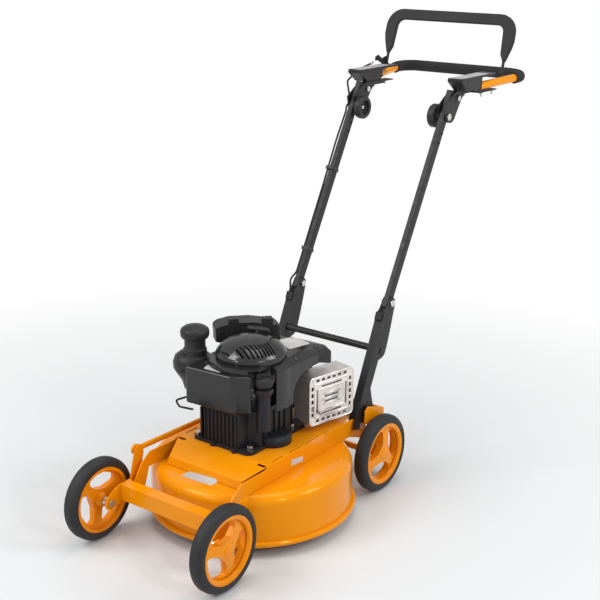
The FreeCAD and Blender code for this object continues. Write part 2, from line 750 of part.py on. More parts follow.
def make_handlebar():
    path = handlebar_path()
    tight = 30
    outer = bent_bar("handlebar_outer", path, tight, "handlebar_radius")
    room = bent_bar("handlebar_room", path, tight, "handlebar_radius - 1.8")
    node("handlebar", less("handlebar", outer, room))
    back = (path[0] - path[1]).normalize()
    start = path[1] + back * 44
    end = path[-2] + Vec(-back.x, back.y, back.z) * 44
    skin = bent_bar("grip_skin", [start, *path[1:5], end], tight, "grip_radius")
    core = bent_bar("grip_core", [path[0], *path[1:5], path[-1]], tight, "handlebar_radius")
    node("grip_sleeve", less("grip_sleeve", skin, core))


def make_panels():
    """Wedge housings on the brackets, each with a thin lid that overhangs the handlebar."""
    panels = []
    wedge = [(640, 1004), (682, 973), (742, 973), (755, 983), (755, 1004)]
    for label, sign in SIDES:
        low_x = 135 if sign > 0 else -178
        block = padded(f"panel_{label}_block", "YZ_Plane", wedge, 43, low_x)
        soft = rounded(f"panel_{label}_soft", block, 3, lambda e: runs_along(e, X_AXIS))
        lid = box(f"panel_{label}_lid", (low_x - 1, low_x + 44), (644, 832), (1003, 1008))
        lid_soft = rounded(f"panel_{label}_lid_soft", lid, 7, lambda e: runs_along(e, Z_AXIS))
        panels.append(fused(f"panel_{label}", soft, lid_soft))
    node("control_panels", together("control_panels", *panels))


def make_head_bolts():
    bolts = []
    for label, sign in SIDES:
        along = Vec(sign, 0, 0)
        shank = rod(f"upper_{label}", 4, 26, sign * 129, "upper_bolt_y", "upper_bolt_height", along)
        head = hexagon(f"upper_{label}_head", 8, 5, sign * 153.4, "upper_bolt_y",
                       "upper_bolt_height", along)
        nut = hexagon(f"upper_{label}_nut", 8, 5, sign * 125.6, "upper_bolt_y",
                      "upper_bolt_height", along)
        bolts.append(fused(f"upper_bolt_{label}", shank, head, nut))
        shank = rod(f"tilt_{label}", 5, 42, sign * 113, "tilt_y", "tilt_height", along)
        head = rod(f"tilt_{label}_head", 9, 4, sign * 153.4, "tilt_y", "tilt_height", along)
        bolts.append(fused(f"tilt_bolt_{label}", shank, head))
        for tag, y in (("near", 764), ("far", 822)):
            stud = rod(f"rail_{label}_{tag}", 3, 12, sign * 171, y, 951, Z_AXIS)
            cap = hexagon(f"rail_{label}_{tag}_nut", 5.5, 4, sign * 171, y, 958.6, Z_AXIS)
            bolts.append(fused(f"rail_bolt_{label}_{tag}", stud, cap))
    node("head_bolts", together("head_bolts", *bolts))


def make_knobs():
    for label, sign in SIDES:
        along = Vec(-sign, 0, 0)
        wheel = turned(f"knob_{label}_turned", [
            ("5 + running_gap", 0), (14, 0), (16, 4), (29, 6), (31, 10), (31, 22), (28, 26),
            (20, 26), (17, 16), (8, 16), (8, 8), ("5 + running_gap", 8)],
            sign * 130.4, "tilt_y", "tilt_height", along)
        node(f"adjust_knob_{label}", wheel)


def arc(u, v, radius, start, end, steps=6):
    """Points of an arc in an outline's own plane; the angles are in degrees."""
    points = []
    for step in range(steps + 1):
        angle = math.radians(start + (end - start) * step / steps)
        points.append((u + radius * math.cos(angle), v + radius * math.sin(angle)))
    return points


def leaning(name, item):
    """Lean an item that stands on the bail's pivot line back by the bail's rest angle."""
    holder = doc.addObject("Part::Compound", name)
    holder.Links = [item]
    holder.Placement = FreeCAD.Placement(at(0, "bail_pivot_y", "bail_pivot_height"),
                                         FreeCAD.Rotation(X_AXIS, -value("bail_lean")))
    return holder


def make_bail():
    """Brake bail: a bent rod, a deep smooth sleeve over its crossbar and a cable lever."""
    half, reach = value("bail_half"), value("bail_reach")
    foot = half - 2
    path = [Vec(foot, 0, 0), Vec(foot, 0, 40), Vec(half, 0, 62), Vec(half, 0, reach),
            Vec(-half, 0, reach), Vec(-half, 0, 62), Vec(-foot, 0, 40), Vec(-foot, 0, 0)]
    bar = bent_bar("bail_bar", path, 20, 4)
    eyes = [rod(f"bail_eye_{label}", 7, 5, sign * (foot - 2.5), 0, 0, Vec(sign, 0, 0))
            for label, sign in SIDES]
    lever = padded("bail_lever", "YZ_Plane", [
        (-9, -5), (6, -7), (9, 4), (5, 22), (-5, 20), (-22, 10), (-44, 16), (-56, 8), (-54, -2),
        (-40, 0)], 3, -foot - 5.5)
    whole = fused("bail_whole", bar, lever, *eyes)
    bore = rod("bail_pivot_bore", "3 + running_gap", 420, -210, 0, 0, X_AXIS)
    node("bail_rod", leaning("bail_rod", less("bail_upright", whole, bore)))
    wide, thin, top = half + 18, half - 18, reach + 14
    left = [(thin + 4, 50), (half - 5, 32), (half + 3, 32), (wide - 4, 66), (wide, 84)]
    left += arc(wide - 50, top - 50, 50, 0, 90)
    inner = arc(thin - 20, top - 50, 20, 90, 0)
    right = [(-a, b) for a, b in reversed(left)]
    outline = left + right + [(-a, b) for a, b in reversed(inner)] + inner
    sleeve = padded("bail_sleeve", "XZ_Plane", outline, 13, -6.5)
    soft = rounded("bail_sleeve_soft", sleeve, 4, lambda e: e.BoundBox.YLength < 0.01)
    core = bent_bar("bail_core", path, 20, 4)
    node("bail_cover", leaning("bail_cover", less("bail_cover_upright", soft, core)))


# ---------------------------------------------------------------- engine

def make_crankcase():
    """Ribbed case on a thin flange, with two set-back bolt corners and a side bowl."""
    low, high = "plate_top", "case_top"
    body = padded("case_body", "XY_Plane", [
        ("case_right + 6", -62), (-62, "case_front + 6"), (40, "case_front + 6"), (46, -66),
        (70, -60), (70, 66), (46, 70), (46, 104), (38, 118), (-62, 118), (-88, 100), (-88, 48),
        ("case_right + 6", 40)], "case_top - plate_top", low)
    soft = rounded("case_soft", body, 5, lambda e: runs_along(e, Z_AXIS))
    flange = box("case_flange", ("case_right", "case_left"), ("case_front", "case_rear"),
                 (low, "plate_top + 9"))
    flange_soft = rounded("case_flange_soft", flange, 18, lambda e: runs_along(e, Z_AXIS))
    ribs = []
    for index in range(10):
        x = f"case_right + 27 + {index} * 12"
        ribs.append(box(f"case_rib_front_{index}", (x, f"{x} + 4"), ("case_front + 3", -60),
                        (low, "case_top - 8")))
    for index in range(6):
        y = f"case_front + 42 + {index} * 20"
        ribs.append(box(f"case_rib_left_{index}", (40, "case_left - 3"), (y, f"{y} + 5"),
                        (low, "case_top - 14")))
        ribs.append(box(f"case_rib_right_{index}", ("case_right + 3", -40), (y, f"{y} + 4"),
                        (low, "case_top - 10")))
    for index, x in enumerate((-34, 32)):
        ribs.append(rod(f"case_foot_{index}", 8, 12, x, "case_front", low))
    bowl = turned("case_bowl", [
        (0, "plate_top"), (46, "plate_top"), (47, "plate_top + 14"), (42, "plate_top + 24"),
        (30, "plate_top + 29"), (0, "plate_top + 29")], 62, 4)
    neck = turned("case_oil_neck", [
        (0, 250), (17, 250), (17, 334), (24, 346), (24, 356), (14, 356), (14, 362), (0, 362)],
        "dip_x", "dip_y")
    solid = fused("case_whole", soft, flange_soft, bowl, neck, *ribs)
    cavity = rod("case_cavity", 52, 62, 0, 0, "plate_top + 14")
    bore = rod("case_bore", "shaft_radius + running_gap", 300, 0, 0, 150)
    oil_way = rod("case_oil_way", 5, 96, "dip_x", "dip_y", 284)
    node("crankcase", less("crankcase", solid, cavity, bore, oil_way))


def make_cylinder():
    fins = []
    for index in range(7):
        y = 128 + 9 * index
        fins.append(box(f"fin_{index}", (-46, 46), (y, y + 4), (232, 346)))
    core = box("cylinder_core", (-32, 32), (118.3, 186), (250, 330))
    node("cylinder_block", fused("cylinder_block", core, *fins))


def shroud_solid(name, inset, low, high):
    """Round blower housing with its lobe over the cylinder; both fall away at the sides."""
    drum = rod(f"{name}_drum", 106 - inset, high - low, 0, 0, low)
    plan = padded(f"{name}_plan", "XY_Plane", [
        (-76 + inset, 30), (-74 + inset, 160 - inset), (0, 170 - inset), (66, 181 - inset),
        (112 - inset, 172 - inset), (124 - inset, 157), (105 - inset, 132), (104 - inset, -10)],
        high - low, low)
    plan_soft = rounded(f"{name}_plan_soft", plan, 9, lambda e: runs_along(e, Z_AXIS))
    whole = fused(f"{name}_whole", drum, plan_soft)
    roof = padded(f"{name}_roof", "XZ_Plane", [
        (-140, low - 1), (-140, high - 24), (-106, high - 12), (-84, high), (77, high),
        (104, high - 12), (140, high - 22), (140, low - 1)], 400, -210)
    slope = padded(f"{name}_slope", "YZ_Plane", [
        (-120, low - 1), (-120, high), (152, high), (178, high - 6), (204, high - 14),
        (204, low - 1)], 300, -150)
    common = doc.addObject("Part::MultiCommon", f"{name}_solid")
    common.Shapes = [whole, roof, slope]
    return common


def make_shroud():
    low, high = value("case_top") + 2, value("shroud_top")
    outer = shroud_solid("shroud", 0, low, high)
    inner = shroud_solid("shroud_room", 3, low - 4, high - 3)
    mouth = rod("shroud_mouth", 78, 30, 0, 0, "shroud_top - 24")
    tank_room = padded("shroud_tank_room", "XY_Plane",
                       [(-140, -140), (120, -140), (74, -80), (60, -73), (-101, -64),
                        (-140, -64)], 100, "tank_bottom - 8")
    dip_room = rod("shroud_dip_room", 31, 112, "dip_x", "dip_y", 290)
    dip_way = padded("shroud_dip_way", "XY_Plane",
                     [(56, -74), (88, -82), (109, -58), (150, -100), (80, -150)], 112, 290)
    head_room = box("shroud_head_room", (-50, 50), (110, 200), (280, 350))
    arch = padded("shroud_arch", "YZ_Plane", [
        (30, 280), (31, 318), (40, 342), (56, 356), (76, 363), (104, 367), (134, 368),
        (170, 363), (260, 360), (260, 280)], 120, 44)
    node("blower_shroud", less("blower_shroud", outer, inner, mouth, tank_room, dip_room,
                               dip_way, head_room, arch))


def make_recoil_cover():
    """Domed cover with slanted louvres towards the front left."""
    rim = value("shroud_top") + 6
    shell = turned("recoil_turned", [
        (0, "recoil_top"), (22, "recoil_top - 1"), (44, "recoil_top - 5.5"),
        (64, "recoil_top - 14"), (78, "recoil_top - 26"), ("recoil_radius - 1", rim + 6),
        ("recoil_radius", rim + 2), ("recoil_radius", rim), ("recoil_radius - 2", rim - 1),
        ("recoil_radius - 2", "shroud_top + 0.2"), ("recoil_radius - 6", "shroud_top + 0.2"),
        ("recoil_radius - 6", rim + 4), (75, "recoil_top - 28.5"), (62, "recoil_top - 17.5"),
        (43, "recoil_top - 9"), (22, "recoil_top - 4.2"), (0, "recoil_top - 3.2")])
    slots = []
    for index in range(10):
        y = 8 * index - 76
        length = 30 if index < 2 else 40
        x = math.sqrt(80 ** 2 - (y - 4) ** 2) - length / 2
        slots.append(slanted(f"recoil_slot_{index}", Vec(x, y, 405), length, 4, 40, -14))
    pull_way = rod("recoil_pull_way", 5, 40, -16, 30.2, 422.9, Vec(0, 0.5, 0.866))
    node("recoil_cover", less("recoil_cover", shell, pull_way, *slots))


def slanted(name, middle, length, width, height, turn):
    """A bar centred over a point and turned about the upright, for a slanting cut."""
    block = box(name, (0, length), (0, width), (0, height))
    for letter in "xyz":
        block.setExpression("Placement.Base." + letter, None)
    spin = FreeCAD.Rotation(Z_AXIS, turn)
    block.Placement = FreeCAD.Placement(middle - spin.multVec(Vec(length / 2, width / 2, 0)), spin)
    return block


def make_tank():
    block = padded("tank_block", "XY_Plane",
                   [(-99, -128), (30, -118), (44, -112), (76, -88), (48, -75.5),
                    (-99, -66)],
                   "tank_top - tank_bottom", "tank_bottom")
    soft = rounded("tank_upright", block, 6, lambda e: runs_along(e, Z_AXIS))
    shell = rounded("tank_soft", soft, 5, lambda e: e.BoundBox.ZLength < 0.01)
    room = padded("tank_room", "XY_Plane",
                  [(-92, -120), (30, -110), (42, -104), (60, -90), (46, -83), (-92, -73)],
                  "tank_top - tank_bottom - 8", "tank_bottom + 4")
    node("fuel_tank", less("fuel_tank", shell, room))


def make_filler():
    """Filler neck with its bulb, and the cap that screws on it."""
    neck = turned("filler_turned", [
        (22, 380), (30, 384), (29, 400), (26, 404), (26, 432), (21, 432), (21, 384)],
        "filler_x", "filler_y")
    bulb = turned("filler_bulb", [
        (0, 296), (22, 296), (28, 318), (40, 336), (48, 350), (49, 366), (44, 380), (31, 390),
        (20, 390), (20, 384), (28, 380), (40, 366), (38, 352), (0, 342)],
        "filler_x - 8", "filler_y")
    mouth = rod("filler_mouth", 20, 60, "filler_x", "filler_y", 378)
    node("filler_neck", less("filler_neck", fused("filler_whole", neck, bulb), mouth))
    cap = turned("fuel_cap_turned", [
        (0, 461), (14, 460), (26, 456), (34, 450), (36, 443), (35, 433), (32, 428), (26.4, 428),
        (26.4, 438), (0, 438)], "filler_x", "filler_y")
    node("fuel_cap", cap)


def about_shaft(name, item, turn):
    """Turn an item about the crankshaft's line."""
    holder = doc.addObject("Part::Compound", name)
    holder.Links = [item]
    holder.Placement = FreeCAD.Placement(Vec(0, 0, 0), FreeCAD.Rotation(Z_AXIS, turn))
    return holder


def make_air_filter():
    """Filter box that lies along the rear right of the round cover, with a clipped lid."""
    turn = -39.4
    low, high = "shroud_top + 1", 428
    base = box("filter_base_block", (-153, -96), (-68, 96), (low, high))
    soft = rounded("filter_base_soft", base, 12, lambda e: runs_along(e, Z_AXIS))
    room = box("filter_room", (-149, -100), (-64, 92), ("shroud_top + 5", 440))
    node("air_filter_base", about_shaft("air_filter_base", less("filter_base", soft, room), turn))
    profile = [(-69, 428.4), (-69, 440), (-56, 447), (-26, 453), (24, 452), (70, 444), (90, 439),
               (97, 432), (97, 428.4)]
    lid = padded("filter_lid_block", "YZ_Plane", profile, 59, -154)
    upright = rounded("filter_lid_upright", lid, 12, lambda e: runs_along(e, Z_AXIS))
    inside = [(-65, 420), (-65, 434), (-26, 448), (24, 447), (88, 434), (88, 420)]
    lid_room = padded("filter_lid_room", "YZ_Plane", inside, 52, -150)
    latches = []
    for index, (y, z) in enumerate(((-36, 440), (50, 436))):
        latches.append(box(f"filter_latch_{index}", (-114, -94), (y, y + 24), (z, z + 24)))
    body = less("filter_hollow", fused("filter_cover_whole", upright, *latches), lid_room)
    node("air_filter_cover", about_shaft("air_filter_cover", body, turn))


def make_carburettor():
    block = box("carb_block", (-118, -96), (46, 88), (306, 350))
    bowl = rod("carb_bowl", 17, 22, -107, 67, 286)
    throat = rod("carb_throat", 13, 26, -119, 67, 334, X_AXIS)
    riser = rod("carb_riser", 9, 56.8, -109, 67, 348)
    node("carburettor", fused("carburettor", block, bowl, throat, riser))


def turned_about_guard(item):
    """Turn an item with the muffler about the muffler's own upright line."""
    turn = FreeCAD.Placement(Vec(0, 0, 0), FreeCAD.Rotation(Z_AXIS, value("guard_turn")),
                             at("guard_x", "guard_y", 0))
    holder = doc.addObject("Part::Compound", item.Name + "_turned")
    holder.Links = [item]
    holder.Placement = turn
    return holder


def make_muffler():
    x, y = value("guard_x"), value("guard_y")
    body = box("muffler_block", (x - 24, x + 22), (y - 52, y + 52), (222, 308))
    soft = rounded("muffler_soft", body, 12, lambda e: runs_along(e, X_AXIS))
    node("muffler_body", turned_about_guard(soft))
    outer = box("guard_outer", (x - 30, x + 28), (y - 78, y + 68), (212, 338))
    outer_soft = rounded("guard_outer_soft", outer, 12, lambda e: runs_along(e, X_AXIS))
    room = box("guard_room", (x - 31, x + 26.4), (y - 76.4, y + 66.4), (213.6, 336.4))
    room_soft = rounded("guard_room_soft", room, 10.4, lambda e: runs_along(e, X_AXIS))
    holes = []
    for index in range(6):
        shift = y - 56 + 18 * index
        for tag, low, high in (("low", 219, 226), ("high", 324, 331)):
            holes.append(box(f"guard_hole_{tag}_{index}", (x + 20, x + 30), (shift, shift + 11),
                             (low, high)))
    for index in range(5):
        height = 236 + 17 * index
        for tag, low in (("near", y - 71), ("far", y + 54)):
            holes.append(box(f"guard_hole_{tag}_{index}", (x + 20, x + 30), (low, low + 7),
                             (height, height + 10)))
    node("muffler_guard", turned_about_guard(less("guard_cut", outer_soft, room_soft, *holes)))


def make_spark_plug():
    boot = rod("plug_boot", 10, 26, -20, 190, 282, Y_AXIS)
    stem = rod("plug_stem", 6, 26, -20, 186.3, 282, Y_AXIS)
    node("spark_plug", fused("spark_plug", boot, stem))


def make_control_bracket():
    """Wire bracket for the control cable, low on the engine's right-hand front."""
    path = [Vec(-100, -100, 270), Vec(-128, -118, 276), Vec(-150, -108, 284), Vec(-134, -78, 288),
            Vec(-104, -74, 284)]
    node("cable_bracket", bent_bar("cable_bracket", path, 9, 2.6))


def make_dipstick():
    """Round oil cap with a finger grip, on its long stick."""
    cap = turned("dipstick_turned", [
        (0, 384), (16, 383), (22, 379), (24, 372), (23, 364), (19, 358), (14.4, 358),
        (14.4, 362.4), (0, 362.4)], "dip_x", "dip_y")
    grip = slanted("dipstick_grip", Vec(value("dip_x"), value("dip_y"), 380), 36, 9, 13, 60)
    grip_soft = rounded("dipstick_grip_soft", grip, 3, lambda e: runs_along(e, Z_AXIS))
    stem = rod("dipstick_stem", 4, 60, "dip_x", "dip_y", 310)
    node("dipstick", fused("dipstick", cap, grip_soft, stem))


def make_rotating():
    """Crankshaft, flywheel, blade and its bolt, which all turn together."""
    shaft = rod("crank_bar", "shaft_radius", 306, 0, 0, 74)
    web = rod("crank_web", 40, 14, 0, 0, 222)
    pin = rod("crank_pin", 10, 22, 22, 0, 230)
    web_top = rod("crank_web_top", 40, 14, 0, 0, 246)
    node("crankshaft", fused("crankshaft", shaft, web, web_top, pin))
    wheel = turned("flywheel_turned", [
        ("shaft_radius", 330), (30, 330), (57, 338), (57, 362), (28, 362), (28, 368),
        ("shaft_radius", 368)])
    blades = []
    for index in range(12):
        fin = box(f"flywheel_fin_{index}", (26, 55), (-1.5, 1.5), (360, 382))
        fin.Placement = FreeCAD.Placement(
            FreeCAD.Rotation(Z_AXIS, 30 * index).multVec(Vec(26, -1.5, 360)),
            FreeCAD.Rotation(Z_AXIS, 30 * index))
        for letter in "xyz":
            fin.setExpression("Placement.Base." + letter, None)
        blades.append(fin)
    node("flywheel", fused("flywheel", wheel, *blades))
    half = 27
    flat = box("blade_flat", ("-blade_radius + 6", "blade_radius - 6"), (-half, half),
               ("blade_height", "blade_height + 4"))
    wing_a = padded("blade_wing_a", "XZ_Plane", [
        ("blade_radius - 66", "blade_height"), ("blade_radius - 8", "blade_height + 18"),
        ("blade_radius - 8", "blade_height + 22"), ("blade_radius - 70", "blade_height + 4")],
        24, half - 24)
    wing_b = padded("blade_wing_b", "XZ_Plane", [
        ("-blade_radius + 66", "blade_height"), ("-blade_radius + 8", "blade_height + 18"),
        ("-blade_radius + 8", "blade_height + 22"), ("-blade_radius + 70", "blade_height + 4")],
        24, -half)
    hole = rod("blade_hole", 5, 10, 0, 0, "blade_height - 3")
    node("blade", less("blade", fused("blade_body", flat, wing_a, wing_b), hole))
    boss = turned("blade_boss_turned", [
        (5, "blade_height + 4"), (26, "blade_height + 4"), (26, "blade_height + 12"),
        (24, "blade_height + 12"), (24, 84), ("shaft_radius", 84), ("shaft_radius", 74), (5, 74)])
    node("blade_boss", boss)
    head = hexagon("blade_bolt_head", 9, 8, 0, 0, "blade_height - 10")
    washer = rod("blade_washer", 22, 2, 0, 0, "blade_height - 2")
    shank = rod("blade_bolt_shank", 5, 14, 0, 0, "blade_height - 2")
    node("blade_bolt", fused("blade_bolt", head, washer, shank))


def make_starter_grip():
    """T-shaped pull that rests on the back of the round cover."""
    lie = Vec(math.cos(math.radians(17)), math.sin(math.radians(17)), 0)
    start = Vec(-16, 47, 452) - lie * 28
    bar = rod("pull_bar", 6, 56, start.x, start.y, start.z, lie)
    neck = rod("pull_neck", 4.5, 16, -16, 40.2, 440.2, Vec(0, 0.5, 0.866))
    soft = rounded("pull_soft", bar, 3, lambda e: len(e.Vertexes) == 1)
    node("starter_grip", fused("starter_grip", soft, neck))


# ---------------------------------------------------------------- control cable

def make_cables():
    """Control cable in three held lengths, which part at the tilt and fold bolts."""
    x = -158
    lever = (value("bail_pivot_y") - 58, value("bail_pivot_height") + 6)
    head = [Vec(-194, *lever), Vec(-196, 730, 1000), Vec(-190, 660, 974),
            Vec(x - 4, *along_tube(tube_span() + 16, 6))]
    node("cable_head", bent_bar("cable_head", head, 24, 2.6))
    near = x + 4
    upper = [Vec(x - 1, *along_tube(tube_span() - 20, -2)), Vec(near, *along_tube(400, -12)),
             Vec(near, *along_tube(270, -8)), Vec(near, *along_tube(30, -5))]
    node("cable_upper", bent_bar("cable_upper", upper, 150, 2.6))
    lower = [Vec(x, *along_channel(296, -4)), Vec(x - 1, *along_channel(230, 6)),
             Vec(x, *along_channel(128, 4)), Vec(x, 244, 250), Vec(-128, 186, 290),
             Vec(-116, 150, 330)]
    node("cable_lower", bent_bar("cable_lower", lower, 40, 2.6))


def main():
    make_deck()
    make_chassis()
    make_side_frames()
    make_rear_guard()
    make_root_fasteners()
    make_wheels()
    make_front_axle()
    make_rear_axle()
    make_link_rod()
    make_handle_channels()
    make_cross_tube()
    make_upper_tubes()
    make_head_brackets()
    make_handlebar()
    make_panels()
    make_head_bolts()
    make_knobs()
    make_bail()
    make_crankcase()
    make_cylinder()
    make_shroud()
    make_recoil_cover()
    make_tank()
    make_filler()
    make_air_filter()
    make_carburettor()
    make_muffler()
    make_spark_plug()
    make_control_bracket()
    make_dipstick()
    make_rotating()
    make_starter_grip()
    make_cables()


def write_parts():
    doc.recompute()
    for item in doc.Objects:
        assert "Invalid" not in item.State and "Error" not in item.State, item.Name
    os.makedirs("parts", exist_ok=True)
    for item in nodes:
        shape = item.Shape
        assert not shape.isNull() and shape.isValid(), item.Label
        assert all(solid.Volume > 0 for solid in shape.Solids), item.Label
        shape.exportStep(f"parts/{item.Label}.step")
    print(len(nodes), "nodes")


main()
write_parts()
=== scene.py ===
import json
import math

import bmesh
import bpy
from mathutils import Matrix, Vector
from mathutils.bvhtree import BVHTree


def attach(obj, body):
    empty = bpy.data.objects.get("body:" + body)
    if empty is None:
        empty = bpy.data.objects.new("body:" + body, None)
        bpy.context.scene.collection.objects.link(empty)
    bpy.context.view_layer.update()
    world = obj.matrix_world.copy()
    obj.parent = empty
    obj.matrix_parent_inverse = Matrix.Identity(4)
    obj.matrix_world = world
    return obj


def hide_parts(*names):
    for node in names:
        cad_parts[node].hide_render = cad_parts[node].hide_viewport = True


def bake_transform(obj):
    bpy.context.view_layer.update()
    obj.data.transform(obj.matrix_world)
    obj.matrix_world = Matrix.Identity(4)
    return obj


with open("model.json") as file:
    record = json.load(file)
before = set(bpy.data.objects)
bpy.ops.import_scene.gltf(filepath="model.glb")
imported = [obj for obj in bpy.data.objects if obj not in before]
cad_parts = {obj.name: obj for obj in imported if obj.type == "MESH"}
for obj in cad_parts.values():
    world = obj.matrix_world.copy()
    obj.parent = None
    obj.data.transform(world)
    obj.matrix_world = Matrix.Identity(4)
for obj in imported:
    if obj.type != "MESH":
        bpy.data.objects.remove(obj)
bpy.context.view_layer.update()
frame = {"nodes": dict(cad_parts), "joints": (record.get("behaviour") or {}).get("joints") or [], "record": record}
NODES = frame["nodes"]
BODY_OF = {n: b for b, ns in frame["record"]["behaviour"]["bodies"].items() for n in ns}
scene = bpy.context.scene


# ---------------------------------------------------------------- material helpers

class Paint:
    """A principled material with a chain of bumps and small helpers for its maps."""

    def __init__(self, name, colour, roughness, metallic=0.0, **sockets):
        self.material = bpy.data.materials.new(name)
        self.material.use_nodes = True
        self.tree = self.material.node_tree
        self.shader = self.tree.nodes["Principled BSDF"]
        self.shader.inputs["Metallic"].default_value = metallic
        self.shader.inputs["Base Color"].default_value = (*colour, 1)
        self.shader.inputs["Roughness"].default_value = roughness
        for key, number in sockets.items():
            self.shader.inputs[key.replace("_", " ")].default_value = number
        self.coords = self.add("ShaderNodeTexCoord").outputs["Object"]
        self.last_bump = None

    def add(self, kind, **settings):
        node = self.tree.nodes.new(kind)
        for key, setting in settings.items():
            setattr(node, key, setting)
        return node

    def wire(self, source, target):
        self.tree.links.new(source, target)

    def stretched(self, scale):
        mapping = self.add("ShaderNodeMapping")
        mapping.inputs["Scale"].default_value = scale
        self.wire(self.coords, mapping.inputs["Vector"])
        return mapping.outputs["Vector"]

    def noise(self, scale, detail=3.0, stretch=None):
        node = self.add("ShaderNodeTexNoise")
        node.inputs["Scale"].default_value = scale
        node.inputs["Detail"].default_value = detail
        self.wire(self.stretched(stretch) if stretch else self.coords, node.inputs["Vector"])
        return node.outputs["Fac"]

    def cells(self, scale):
        node = self.add("ShaderNodeTexVoronoi", feature="F1")
        node.inputs["Scale"].default_value = scale
        self.wire(self.coords, node.inputs["Vector"])
        return node.outputs["Distance"]

    def ramp(self, source, low, high, at_low=0.0, at_high=1.0):
        node = self.add("ShaderNodeMapRange")
        node.inputs["From Min"].default_value = low
        node.inputs["From Max"].default_value = high
        node.inputs["To Min"].default_value = at_low
        node.inputs["To Max"].default_value = at_high
        self.wire(source, node.inputs["Value"])
        return node.outputs["Result"]

    def blend(self, factor, first, second):
        node = self.add("ShaderNodeMix", data_type="RGBA")
        self.wire(factor, node.inputs["Factor"])
        for socket, item in ((node.inputs[6], first), (node.inputs[7], second)):
            if isinstance(item, tuple):
                socket.default_value = (*item, 1)
            else:
                self.wire(item, socket)
        return node.outputs[2]

    def colour_from(self, output):
        self.wire(output, self.shader.inputs["Base Color"])
        return self

    def roughness_from(self, output):
        self.wire(output, self.shader.inputs["Roughness"])
        return self

    def bump(self, height, strength, distance):
        node = self.add("ShaderNodeBump")
        node.inputs["Strength"].default_value = strength
        node.inputs["Distance"].default_value = distance
        self.wire(height, node.inputs["Height"])
        if self.last_bump:
            self.wire(self.last_bump, node.inputs["Normal"])
        self.last_bump = node.outputs["Normal"]
        self.wire(self.last_bump, self.shader.inputs["Normal"])
        return self

    def height_above_ground(self):
        split = self.add("ShaderNodeSeparateXYZ")
        self.wire(self.coords, split.inputs["Vector"])
        return split.outputs["Z"]


def scaled(colour, factor):
    return tuple(min(1.0, c * factor) for c in colour)


def enamel(name, colour, edge=1.0):
    """Gloss enamel: orange peel, slow colour drift, fine dust and rubbed patches."""
    paint = Paint(name, scaled(colour, edge), 0.24, Coat_Weight=0.04, Coat_Roughness=0.06,
                  Specular_IOR_Level=0.45, Specular_Tint=(1.0, 0.55, 0.16, 1.0))
    drift = paint.noise(5, 2)
    speck = paint.noise(420, 2)
    fresh = paint.blend(paint.ramp(drift, 0.35, 0.65), scaled(colour, 0.95 * edge),
                        scaled(colour, 1.04 * edge))
    dust = paint.ramp(speck, 0.66, 0.78, 0, 0.06)
    paint.colour_from(paint.blend(dust, fresh, (0.55, 0.36, 0.12)))
    paint.roughness_from(paint.ramp(paint.noise(38, 4), 0.3, 0.75, 0.10, 0.22))
    return paint.bump(paint.noise(240, 2), 0.06, 0.0004).bump(paint.noise(22, 2), 0.05, 0.002)


def powder_coat(name, colour, roughness, grain=900):
    """Powder coat: tight pebble grain and scuffs along the length."""
    paint = Paint(name, colour, roughness, Specular_IOR_Level=0.32)
    scuff = paint.noise(60, 5, (1, 1, 0.12))
    worn = paint.blend(paint.ramp(scuff, 0.58, 0.74, 0, 0.5), colour, scaled(colour, 1.9))
    paint.colour_from(worn)
    paint.roughness_from(paint.ramp(paint.noise(90, 4), 0.3, 0.7, roughness - 0.07, roughness + 0.1))
    return paint.bump(paint.noise(grain, 2), 0.22, 0.0004).bump(scuff, 0.05, 0.001)


def moulded(name, colour, roughness, grain=1400, depth=0.3, gloss=0.3):
    """Moulded plastic: spark-eroded grain, slight sink marks and patches of painted sheen."""
    paint = Paint(name, colour, roughness, Specular_IOR_Level=gloss)
    painted_sheen_patches = paint.noise(14, 3)
    # painted sheen: the colour is lighter where these patches are
    paint.colour_from(paint.blend(paint.ramp(painted_sheen_patches, 0.35, 0.7), scaled(colour, 0.86),
                                  scaled(colour, 1.18)))
    paint.roughness_from(paint.ramp(painted_sheen_patches, 0.3, 0.7, roughness - 0.06, roughness + 0.08))
    return paint.bump(paint.cells(grain), depth, 0.0003).bump(paint.noise(30, 2), 0.05, 0.0015)


def plated(name, colour, roughness, stretch=(1, 1, 1)):
    """Plated or bare metal: fine directional scratches and clouded patches."""
    paint = Paint(name, colour, roughness, 1.0)
    cloud = paint.noise(70, 4)
    paint.colour_from(paint.blend(paint.ramp(cloud, 0.35, 0.7), scaled(colour, 0.8), colour))
    paint.roughness_from(paint.ramp(cloud, 0.3, 0.7, roughness - 0.06, roughness + 0.14))
    return paint.bump(paint.noise(1200, 2, stretch), 0.12, 0.0003)


def cast(name, colour, roughness):
    """Sand-cast and painted alloy: coarse pitted skin, with painted shade darkening its recesses."""
    paint = Paint(name, colour, roughness, Specular_IOR_Level=0.32,
                  Specular_Tint=(0.72, 0.85, 1.0, 1.0))
    pits_and_painted_shade = paint.noise(520, 5)
    # painted shade: the colour darkens where the pits are deepest
    paint.colour_from(paint.blend(paint.ramp(pits_and_painted_shade, 0.35, 0.65), scaled(colour, 0.7),
                                  scaled(colour, 1.25)))
    paint.roughness_from(paint.ramp(paint.noise(60, 3), 0.3, 0.7, roughness - 0.08, roughness + 0.1))
    return paint.bump(pits_and_painted_shade, 0.35, 0.0008)


def tyre_rubber(name):
    """Moulded rubber with a bloom that is palest near the tread."""
    colour = (0.017, 0.017, 0.019)
    paint = Paint(name, colour, 0.55, Specular_IOR_Level=0.35)
    bloom = paint.noise(26, 5)
    low = paint.ramp(paint.height_above_ground(), 0.0, 0.05, 0.35, 0.0)
    dusty = paint.blend(low, colour, (0.07, 0.067, 0.065))
    paint.colour_from(paint.blend(paint.ramp(bloom, 0.45, 0.75, 0, 0.55), dusty, (0.040, 0.040, 0.043)))
    paint.roughness_from(paint.ramp(bloom, 0.3, 0.7, 0.5, 0.7))
    return paint.bump(paint.noise(700, 3), 0.22, 0.0005)


